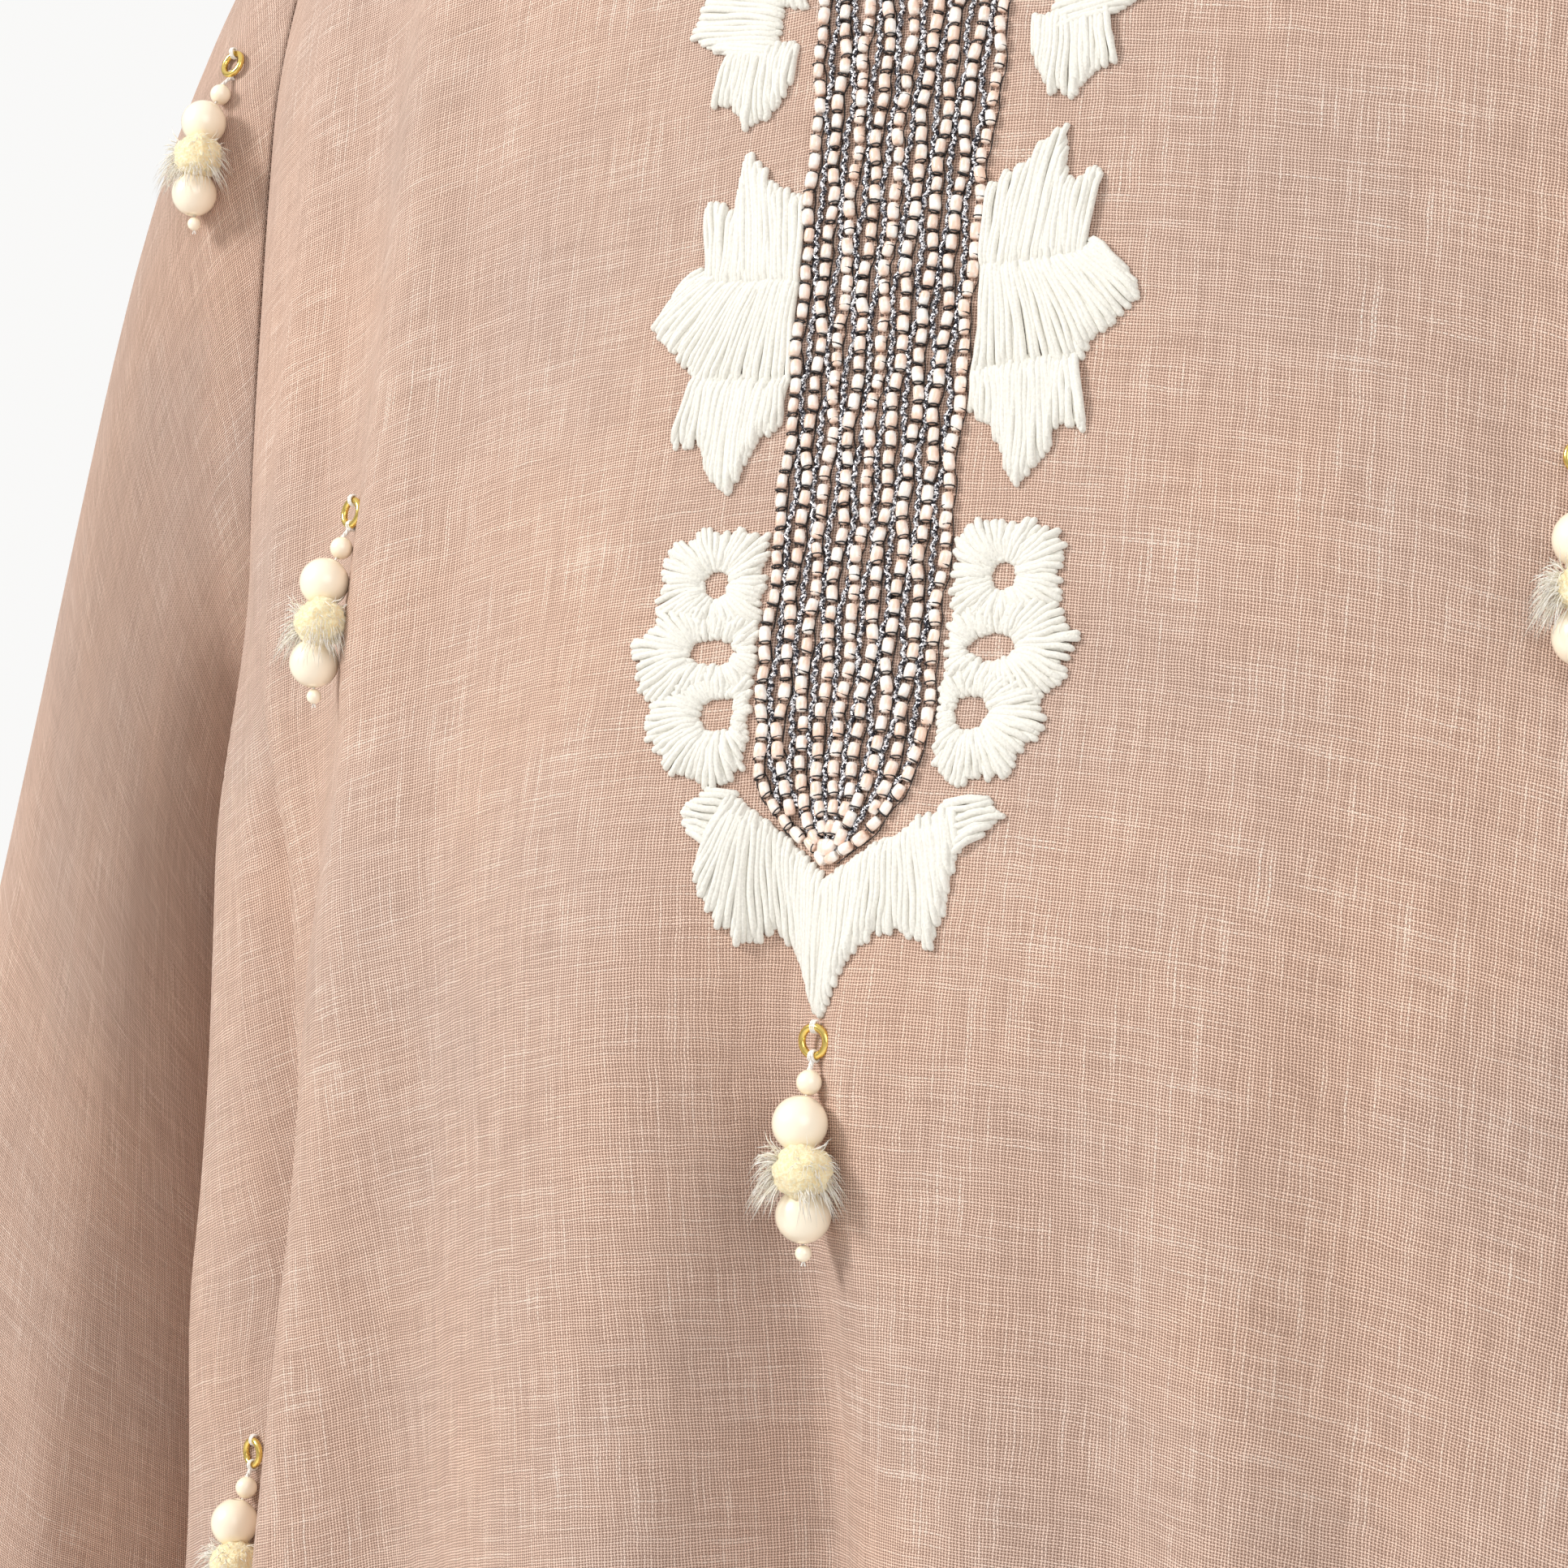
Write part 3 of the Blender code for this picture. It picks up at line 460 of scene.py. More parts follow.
def top_edge(front, u):
    """(s, z) on the upper edge of half a panel, from its centre (0) to the shoulder's end (1)."""
    slit = SLIT_SHARE if front else 0.0
    neck_x, neck_z = neck_edge(front, np.clip((u - slit) / (NECK_SHARE - slit), 0, 1))
    end_x = base_points(True, ARMHOLE_S, SHOULDER_Z)[0]
    shoulder_x = NECK_X + (end_x - NECK_X) * (u - NECK_SHARE) / (1 - NECK_SHARE)
    shoulder_z = -SHOULDER_FALL * (shoulder_x - NECK_X)
    x, z = np.where(u <= NECK_SHARE, neck_x, shoulder_x), np.where(u <= NECK_SHARE, neck_z, shoulder_z)
    if front:
        x = np.where(u < slit, SLIT_TOP_X * u / slit, x)
        z = np.where(u < slit, SLIT_TIP_Z + (SLIT_TOP_Z - SLIT_TIP_Z) * u / slit, z)
    return s_of_x(x, z), z


def panel_places(front, u, rows):
    """(s, z) of the grid of half a panel. A row is 0 to 1 from the top to the underarm, then a height."""
    top_s, top_z = top_edge(front, u)
    w = np.where(rows >= 0, rows, 1.0)[:, None]
    end_s, end_z = armhole(w * np.pi)
    corner_s, corner_z = armhole(0.0)
    pull = u**3
    s = top_s + (u - top_s) * w + pull * (end_s - corner_s - (1 - corner_s) * w)
    z = top_z + (UNDERARM_Z - top_z) * w + pull * (end_z - corner_z - (UNDERARM_Z - corner_z) * w)
    lower = rows < 0
    s[lower] = u
    z[lower] = rows[lower][:, None]
    return s, z


def panel_rows():
    """The rows of a panel's grid, closest together round the neck, the chest and the waist."""
    upper = np.concatenate([[0.0, 0.004], np.linspace(0.014, 1.0, 64)])
    lower = [np.linspace(-0.2735, -0.46, 46), np.linspace(-0.468, -1.392, 64), [-1.3965, HEM_Z]]
    return np.concatenate([upper, *lower])


def along_lengths(points, axis):
    """Lengths along the lines of a grid."""
    steps = np.linalg.norm(np.diff(points, axis=axis), axis=-1)
    start = np.zeros_like(np.take(steps, [0], axis=axis))
    return np.concatenate([start, np.cumsum(steps, axis=axis)], axis=axis)


def between(grid, s, z, s_line, z_line):
    """The values of a grid of (z, s) at other places, straight between its points."""
    i = (s - s_line[0]) / (s_line[1] - s_line[0])
    j = (z - z_line[0]) / (z_line[1] - z_line[0])
    i0 = np.clip(i.astype(int), 0, len(s_line) - 2)
    j0 = np.clip(j.astype(int), 0, len(z_line) - 2)
    a, b = i - i0, j - j0
    return (
        grid[j0, i0] * (1 - a) * (1 - b) + grid[j0, i0 + 1] * a * (1 - b)
        + grid[j0 + 1, i0] * (1 - a) * b + grid[j0 + 1, i0 + 1] * a * b
    )


def panel_threads(front, s, z):
    """Places in the weave: metres along the weft from the centre line, and along the warp."""
    steps = 360
    s_line, z_line = np.linspace(-1, 1, steps + 1), np.linspace(0.0, HEM_Z, steps + 1)
    points = body_points(front, s_line[None, :], z_line[:, None])
    across = along_lengths(points, 1)
    across -= across[:, [steps // 2]]
    down = along_lengths(points, 0)
    down -= down[[int(round(UNDERARM_Z / HEM_Z * steps))]]
    across, down = (between(grid, s, z, s_line, z_line) for grid in (across, down))
    near = np.minimum(np.abs(across), WEFT_FALL_REACH)
    fall = WEFT_FALL * near * near + 2 * WEFT_FALL * near * (np.abs(across) - near)
    return across, fall - down


def unevenness(u, v):
    """The soft unevenness of worn linen."""
    waves = ((41, 13, 0.3), (23, 57, 1.9), (97, 31, 4.1), (61, -83, 2.2), (149, 71, 5.0), (12, 118, 0.9))
    return sum(np.sin(a * u + b * v + c + 2.1 * np.sin(0.31 * b * u + 0.23 * a * v)) for a, b, c in waves) / 6


def grid_mesh(name, points, threads, outward, closed=False):
    """A surface made from a grid of points, with its places in the weave as its UV map."""
    rows, columns = points.shape[:2]
    across = np.arange(columns if closed else columns - 1)
    a = (np.arange(rows - 1)[:, None] * columns + across).ravel()
    b = (np.arange(rows - 1)[:, None] * columns + (across + 1) % columns).ravel()
    faces = np.stack([a, b, b + columns, a + columns], axis=-1)
    if not outward:
        faces = faces[:, ::-1]
    mesh = bpy.data.meshes.new(name)
    mesh.from_pydata(points.reshape(-1, 3).tolist(), [], faces.tolist())
    layer = mesh.uv_layers.new(name="weave")
    corners = np.empty(len(mesh.loops), np.int32)
    mesh.loops.foreach_get("vertex_index", corners)
    places = np.stack([threads[0].ravel()[corners], threads[1].ravel()[corners]], axis=-1)
    if closed:
        first = corners.reshape(-1, 4)
        wraps = (first % columns == 0).any(1) & (first % columns == columns - 1).any(1)
        whole = threads[2].ravel()[corners].reshape(-1, 4)
        places = places.reshape(-1, 4, 2)
        turned = wraps[:, None] & (first % columns == 0)
        places[..., 0] = np.where(turned, places[..., 0] + whole, places[..., 0])
    layer.data.foreach_set("uv", places.astype(np.float32).ravel())
    mesh.shade_smooth()
    piece = bpy.data.objects.new(name, mesh)
    bpy.context.scene.collection.objects.link(piece)
    return piece


def grid_tree(points, outward, closed=False):
    """The same surface, to be measured."""
    rows, columns = points.shape[:2]
    faces = []
    for j in range(rows - 1):
        for i in range(columns if closed else columns - 1):
            a, b = j * columns + i, j * columns + (i + 1) % columns
            face = (a, b, b + columns, a + columns)
            faces.append(face if outward else face[::-1])
    return BVHTree.FromPolygons(points.reshape(-1, 3).tolist(), faces)


def hanging_balls(words):
    """The centre and radius of each pearl and ring that hangs before a cloth."""
    balls = []
    for pendant in PENDANTS:
        if not any(word in pendant for word in words):
            continue
        for part in ("ring", "small_pearl", "upper_pearl", "lower_pearl"):
            low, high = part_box(f"{pendant}_{part}")
            radius = 0.0008 if part == "ring" else (high.x - low.x) / 2
            balls.append(((low + high) / 2, radius))
    return balls


def settle(points, balls, outward, closed=False):
    """Move the cloth softly in or out, so that what hangs before it just rests on it."""
    clear, reach = 0.0003, 0.016
    for _ in range(4):
        tree = grid_tree(points, outward, closed)
        for centre, radius in balls:
            near, normal, _, _ = tree.find_nearest(centre)
            gap = (centre - near).dot(normal) - radius
            far = np.linalg.norm(points - np.array(centre), axis=-1)
            move = (gap - clear) * np.exp(-((far / reach) ** 2)) * (0.5 if gap > clear else 0.8)
            points = points + np.array(normal) * move[..., None]
    return points


def thicken(piece, thickness):
    """Give a cloth its thickness, inwards."""
    wall = piece.modifiers.new("thickness", "SOLIDIFY")
    wall.thickness = thickness
    wall.offset = -1
    wall.use_even_offset = False


def panel_grid(front):
    """The points and the weave of the front or the back."""
    half = np.linspace(0, 1, 67)
    s, z = panel_places(front, half, panel_rows())
    s = np.concatenate([-s[:, :0:-1], s], axis=1)
    z = np.concatenate([z[:, :0:-1], z], axis=1)
    points = body_points(front, s, z)
    threads = panel_threads(front, s, z)
    edge = smooth(np.minimum((1 - np.abs(s)) / 0.05, 1)) * smooth((z - HEM_Z) / 0.03)
    out = -1 if front else 1
    points[..., 1] += out * (SEAM_GAP / 2 + UNEVEN * edge * unevenness(*threads))
    return points, threads


def make_panel(front):
    """The front or the back as a thin cloth."""
    points, threads = panel_grid(front)
    if front:
        points = settle(points, hanging_balls(("centre", "chest", "side")), False)
    name = "linen_front" if front else "linen_back"
    piece = grid_mesh(name, points, threads, not front)
    thicken(piece, CLOTH)
    return piece


def sleeve_form(along, turn):
    """Points of the sleeve's smooth form, with the turn from 0 at the shoulder over the front to 2 pi."""
    value = {name: read(SLEEVE, SLEEVE_COLUMNS, name, along) for name in SLEEVE_COLUMNS[1:]}
    zero = np.zeros(np.shape(along))
    outer = np.stack([value["outer_x"], zero, value["outer_z"]], axis=-1)
    inner = np.stack([value["inner_x"], zero, value["inner_z"]], axis=-1)
    deep = np.stack([zero, value["half_depth"] * np.sin(turn), zero], axis=-1)
    return (outer + inner) / 2 + (outer - inner) / 2 * np.cos(turn)[..., None] - deep


def armhole_points(turn):
    """Points of the body's armhole edge, on the front below half a turn and on the back above it."""
    s, z = armhole(np.where(turn <= np.pi, turn, 2 * np.pi - turn))
    on_front = (turn <= np.pi)[..., None]
    return np.where(on_front, body_points(True, s, z), body_points(False, s, z))


def sleeve_points(along, turn):
    """Points of the wearer's left sleeve."""
    error = armhole_points(turn) - sleeve_form(np.zeros(turn.shape), turn)
    points = sleeve_form(along, turn) + error * ((1 - along) ** 3)[..., None]
    depth = np.zeros(turn.shape)
    for centre, half_width, height, start in SLEEVE_FOLDS + SLEEVE_CREASES:
        depth += height * smooth((along - start) / (1 - start)) * ridge(np.degrees(turn) - centre, half_width)
    middle = (sleeve_form(along, np.zeros(turn.shape)) + sleeve_form(along, np.full(turn.shape, np.pi))) / 2
    return points + unit(points - middle) * depth[..., None] + np.array([ARMHOLE_GAP, 0, 0])


def make_sleeve(side):
    """One sleeve as a thin open tube of cloth."""
    word = "left" if side > 0 else "right"
    around = 104
    along = np.concatenate([np.linspace(0, 0.5, 60), np.linspace(0.51, 0.985, 36), [0.993, 1.0]])
    turn = np.linspace(0, 2 * np.pi, around, endpoint=False)
    along, turn = np.meshgrid(along, turn, indexing="ij")
    points = sleeve_points(along, turn)
    full = np.concatenate([points, points[:, :1]], axis=1)
    u = along_lengths(full, 1)
    v = -along_lengths(points, 0).mean(axis=1, keepdims=True) + 0.25 * np.cos(turn) * 0.12
    inside = smooth(along / 0.1) * smooth((1 - along) / 0.05)
    middle = points.mean(axis=1, keepdims=True)
    points = points + unit(points - middle) * (UNEVEN * inside * unevenness(u[:, :-1], v))[..., None]
    points[..., 0] *= side
    points = settle(points, hanging_balls((f"sleeve_{word}",)), side > 0, closed=True)
    threads = (u[:, :-1], v, np.broadcast_to(u[:, -1:], v.shape))
    piece = grid_mesh(f"linen_sleeve_{word}", points, threads, side > 0, closed=True)
    thicken(piece, CLOTH)
    return piece


def cloth_tree(name):
    """The outer side of a cloth, to lay things on."""
    mesh = bpy.data.objects[name].data
    return BVHTree.FromPolygons([v.co for v in mesh.vertices], [tuple(p.vertices) for p in mesh.polygons])


def on_front(tree, x, z, lift=0.0):
    """The point and the way out, where a pin pushed straight back at (x, z) meets the front."""
    point, normal, _, _ = tree.ray_cast(Vector((x, -0.4, z)), Vector((0, 1, 0)), 0.6)
    if point is None:
        raise RuntimeError(f"no cloth behind ({x:.4f}, {z:.4f})")
    return point + normal * lift, normal


def pressed_on(tree, points, lift):
    """A path of points beside a cloth, moved to just out from it."""
    path = []
    for point in points:
        place, normal, _, _ = tree.find_nearest(Vector(point))
        path.append((place + normal * lift, normal, 0.0))
    return path


# Node trees


def add(tree, kind, inputs=(), **options):
    """A node with its options, and values or links for its inputs."""
    made = tree.nodes.new(kind)
    for name, value in options.items():
        setattr(made, name, value)
    for name, value in dict(inputs).items():
        if isinstance(value, bpy.types.NodeSocket):
            tree.links.new(value, made.inputs[name])
        else:
            made.inputs[name].default_value = value
    return made


def math_node(tree, operation, a, b=0.0, c=0.0):
    """The result of a sum on one, two or three values."""
    return add(tree, "ShaderNodeMath", {0: a, 1: b, 2: c}, operation=operation).outputs[0]


def new_group(name, kind, inputs, outputs):
    """A node group with inputs and outputs of (name, type, value), and their sockets inside it."""
    tree = bpy.data.node_groups.new(name, kind)
    for way, sockets in (("INPUT", inputs), ("OUTPUT", outputs)):
        for label, socket_type, value in sockets:
            socket = tree.interface.new_socket(label, in_out=way, socket_type="NodeSocket" + socket_type)
            if value is not None:
                socket.default_value = value
    entry, out = tree.nodes.new("NodeGroupInput"), tree.nodes.new("NodeGroupOutput")
    return tree, entry.outputs, out.inputs


def new_tree(name, inputs):
    """A geometry node tree with a geometry going in and out, and named inputs."""
    geometry = ("Geometry", "Geometry", None)
    return new_group(name, "GeometryNodeTree", (geometry, *inputs), (geometry,))


def finish_tree(tree, geometry, material, out):
    """The end that every tree has: plain meshes with a material."""
    real = add(tree, "GeometryNodeRealizeInstances", {"Geometry": geometry})
    even = add(tree, "GeometryNodeSetShadeSmooth", {"Geometry": real.outputs[0]})
    done = add(tree, "GeometryNodeSetMaterial", {"Geometry": even.outputs[0], "Material": material})
    tree.links.new(done.outputs[0], out[0])


def finish_copies(tree, entry, out, points, rotation, angles, size):
    """The end of a tree of copies: each is turned by its own angles, sized and placed."""
    euler = add(tree, "FunctionNodeEulerToRotation", {0: angles})
    turned = add(tree, "FunctionNodeRotateRotation", {0: rotation, 1: euler.outputs[0]},
                 rotation_space="LOCAL")
    shape = add(tree, "GeometryNodeObjectInfo", {"Object": entry["Shape"]})
    copies = add(tree, "GeometryNodeInstanceOnPoints", {
        "Points": points, "Instance": shape.outputs["Geometry"], "Rotation": turned.outputs[0], "Scale": size,
    })
    finish_tree(tree, copies.outputs[0], entry["Material"], out)


def repeat_tree():
    """Copies of a shape along paths, each facing the way out that its path carries."""
    found = bpy.data.node_groups.get("repeat along paths")
    if found:
        return found
    tree, entry, out = new_tree("repeat along paths", (
        ("Shape", "Object", None),
        ("Material", "Material", None),
        ("Pitch", "Float", 0.003),
        ("Sway", "Float", 0.0),
        ("Turn Varies", "Float", 0.0),
        ("Size Varies", "Float", 0.0),
        ("Seed", "Int", 0),
    ))
    paths = add(tree, "GeometryNodeMeshToCurve", {"Mesh": entry["Geometry"]})
    spaced = add(tree, "GeometryNodeResampleCurve", {"Curve": paths.outputs[0], "Length": entry["Pitch"]},
                 mode="LENGTH")
    way = add(tree, "GeometryNodeInputNamedAttribute", {"Name": "out"}, data_type="FLOAT_VECTOR")
    along = add(tree, "GeometryNodeInputTangent")
    upright = add(tree, "FunctionNodeAlignRotationToVector", {"Vector": along.outputs[0]}, axis="Z")
    facing = add(tree, "FunctionNodeAlignRotationToVector",
                 {"Rotation": upright.outputs[0], "Vector": way.outputs[0]}, axis="X", pivot_axis="Z")
    number = add(tree, "GeometryNodeInputIndex").outputs[0]
    twice = math_node(tree, "MULTIPLY", math_node(tree, "MODULO", number, 2.0), 2.0)
    odd = math_node(tree, "SUBTRACT", twice, 1.0)
    sway = math_node(tree, "MULTIPLY", odd, entry["Sway"])
    least = math_node(tree, "MULTIPLY", entry["Turn Varies"], -1.0)
    turn = add(tree, "FunctionNodeRandomValue", {2: least, 3: entry["Turn Varies"], "Seed": entry["Seed"]})
    swayed = math_node(tree, "ADD", sway, turn.outputs[1])
    angles = add(tree, "ShaderNodeCombineXYZ", {0: swayed})
    small = math_node(tree, "SUBTRACT", 1.0, entry["Size Varies"])
    large = math_node(tree, "ADD", 1.0, entry["Size Varies"])
    other_seed = math_node(tree, "ADD", entry["Seed"], 5.0)
    size = add(tree, "FunctionNodeRandomValue", {2: small, 3: large, "Seed": other_seed})
    finish_copies(tree, entry, out, spaced.outputs[0], facing.outputs[0], angles.outputs[0], size.outputs[1])
    return tree


def thread_tree():
    """Round threads along paths, as thick as each path's own radius."""
    found = bpy.data.node_groups.get("threads along paths")
    if found:
        return found
    tree, entry, out = new_tree("threads along paths", (
        ("Material", "Material", None),
        ("Sides", "Int", 6),
        ("Even Steps", "Bool", True),
        ("Length Of Step", "Float", 0.0012),
    ))
    paths = add(tree, "GeometryNodeMeshToCurve", {"Mesh": entry["Geometry"]})
    spaced = add(tree, "GeometryNodeResampleCurve", {
        "Curve": paths.outputs[0], "Length": entry["Length Of Step"],
    }, mode="LENGTH")
    chosen = add(tree, "GeometryNodeSwitch", {
        "Switch": entry["Even Steps"], "False": paths.outputs[0], "True": spaced.outputs[0],
    }, input_type="GEOMETRY")
    thick = add(tree, "GeometryNodeInputNamedAttribute", {"Name": "thick"}, data_type="FLOAT")
    sized = add(tree, "GeometryNodeSetCurveRadius", {"Curve": chosen.outputs[0], "Radius": thick.outputs[0]})
    profile = add(tree, "GeometryNodeCurvePrimitiveCircle", {"Resolution": entry["Sides"], "Radius": 1.0})
    tube = add(tree, "GeometryNodeCurveToMesh", {
        "Curve": sized.outputs[0], "Profile Curve": profile.outputs[0], "Fill Caps": True,
    })
    if "Scale" in tube.inputs:
        tree.links.new(thick.outputs[0], tube.inputs["Scale"])
    finish_tree(tree, tube.outputs[0], entry["Material"], out)
    return tree


def fibre_tree():
    """Fibres that stand on a surface, leaning this way and that."""
    found = bpy.data.node_groups.get("fibres on a surface")
    if found:
        return found
    tree, entry, out = new_tree("fibres on a surface", (
        ("Shape", "Object", None),
        ("Material", "Material", None),
        ("Density", "Float", 1.0),
        ("Lean", "Float", 0.6),
        ("Shortest", "Float", 0.5),
        ("Longest", "Float", 1.2),
        ("Seed", "Int", 0),
    ))
    spread = add(tree, "GeometryNodeDistributePointsOnFaces", {
        "Mesh": entry["Geometry"], "Density": entry["Density"], "Seed": entry["Seed"],
    })
    least = math_node(tree, "MULTIPLY", entry["Lean"], -1.0)
    low = add(tree, "ShaderNodeCombineXYZ", {0: least, 1: least, 2: -3.1}).outputs[0]
    high = add(tree, "ShaderNodeCombineXYZ", {0: entry["Lean"], 1: entry["Lean"], 2: 3.1}).outputs[0]
    lean = add(tree, "FunctionNodeRandomValue", {0: low, 1: high, "Seed": entry["Seed"]},
               data_type="FLOAT_VECTOR")
    size = add(tree, "FunctionNodeRandomValue", {
        2: entry["Shortest"], 3: entry["Longest"], "Seed": entry["Seed"],
    })
    finish_copies(tree, entry, out, spread.outputs[0], spread.outputs["Rotation"], lean.outputs[0],
                  size.outputs[1])
    return tree


def run_tree(name, source, tree, values):
    """The tree's result on a source as a plain piece. The source is used up."""
    source.modifiers.clear()
    step = source.modifiers.new("nodes", "NODES")
    step.node_group = tree
    for socket in tree.interface.items_tree:
        if socket.item_type == "SOCKET" and socket.in_out == "INPUT" and socket.name in values:
            step[socket.identifier] = values[socket.name]
    source.update_tag()
    bpy.context.view_layer.update()
    evaluated = source.evaluated_get(bpy.context.evaluated_depsgraph_get())
    mesh = bpy.data.meshes.new_from_object(evaluated)
    if not len(mesh.polygons):
        raise RuntimeError(f"{name} came out empty")
    for layer in [a.name for a in mesh.attributes if a.name in ("out", "thick")]:
        mesh.attributes.remove(mesh.attributes[layer])
    mesh.name = name
    piece = bpy.data.objects.new(name, mesh)
    bpy.context.scene.collection.objects.link(piece)
    bpy.data.objects.remove(source)
    return piece


def paths_object(name, paths):
    """Open paths as edges. Each point is (place, way out, radius)."""
    points, edges, outs, radii = [], [], [], []
    for path in paths:
        first = len(points)
        for place, way, radius in path:
            points.append(place)
            outs.extend(way)
            radii.append(radius)
        edges += [(first + i, first + i + 1) for i in range(len(path) - 1)]
    mesh = bpy.data.meshes.new(name)
    mesh.from_pydata(points, edges, [])
    mesh.attributes.new("out", "FLOAT_VECTOR", "POINT").data.foreach_set("vector", outs)
    mesh.attributes.new("thick", "FLOAT", "POINT").data.foreach_set("value", radii)
    piece = bpy.data.objects.new(name, mesh)
    bpy.context.scene.collection.objects.link(piece)
    return piece


def shape_object(name, build):
    """A shape for a tree to copy, built along +Z round the origin."""
    mesh = bpy.data.meshes.new(name)
    shape = bmesh.new()
    build(shape)
    bmesh.ops.recalc_face_normals(shape, faces=shape.faces)
    shape.to_mesh(mesh)
    shape.free()
    mesh.shade_smooth()
    piece = bpy.data.objects.new(name, mesh)
    bpy.context.scene.collection.objects.link(piece)
    return piece


def turned(shape, profile, sides, matrix=None):
    """A shape turned from a profile of (radius, height), closed where the radius is 0."""
    rings = []
    for radius, height in profile:
        if radius == 0:
            rings.append([shape.verts.new((0, 0, height))])
            continue
        angles = [2 * math.pi * i / sides for i in range(sides)]
        rings.append([shape.verts.new((radius * math.cos(a), radius * math.sin(a), height)) for a in angles])
    for low, high in zip(rings, rings[1:]):
        for i in range(sides):
            corners = [low[i % len(low)], low[(i + 1) % len(low)]]
            corners += [high[(i + 1) % len(high)], high[i % len(high)]]
            shape.faces.new(list(dict.fromkeys(corners)))
    if matrix is not None:
        bmesh.ops.transform(shape, matrix=matrix, verts=[v for ring in rings for v in ring])


def torus(shape, major, minor, around, section, matrix=None):
    """A closed ring in the XY plane."""
    grid = []
    for i in range(around):
        a = 2 * math.pi * i / around
        line = []
        for j in range(section):
            b = 2 * math.pi * j / section
            r = major + minor * math.cos(b)
            line.append(shape.verts.new((r * math.cos(a), r * math.sin(a), minor * math.sin(b))))
        grid.append(line)
    for i in range(around):
        for j in range(section):
            k, m = (i + 1) % around, (j + 1) % section
            shape.faces.new((grid[i][j], grid[k][j], grid[k][m], grid[i][m]))
    if matrix is not None:
        bmesh.ops.transform(shape, matrix=matrix, verts=[v for line in grid for v in line])


# Materials


def new_material(name, colour, roughness=0.5, **values):
    """A material whose even values stand on its shader's own sockets."""
    made = bpy.data.materials.new(name)
    made.use_nodes = True
    tree = made.node_tree
    shader = tree.nodes["Principled BSDF"]
    shader.inputs["Base Color"].default_value = colour
    shader.inputs["Roughness"].default_value = roughness
    for label, value in values.items():
        shader.inputs[label.replace("_", " ")].default_value = value
    return made, tree, shader


def mix_colours(tree, share, first, second):
    """A mix of two colours."""
    made = tree.nodes.new("ShaderNodeMix")
    made.data_type = "RGBA"
    for socket, value in ((made.inputs[0], share), (made.inputs[6], first), (made.inputs[7], second)):
        if isinstance(value, bpy.types.NodeSocket):
            tree.links.new(value, socket)
        else:
            socket.default_value = value
    return made.outputs[2]


def from_to(tree, value, low, high, to_low=0.0, to_high=1.0):
    """A value stretched from one range to another, and held inside it."""
    made = add(tree, "ShaderNodeMapRange", {0: value, 1: low, 2: high, 3: to_low, 4: to_high})
    return made.outputs[0]


def noise(tree, place, scale, detail):
    """A soft noise at a place."""
    return add(tree, "ShaderNodeTexNoise", {"Vector": place, "Scale": scale, "Detail": detail}).outputs[0]


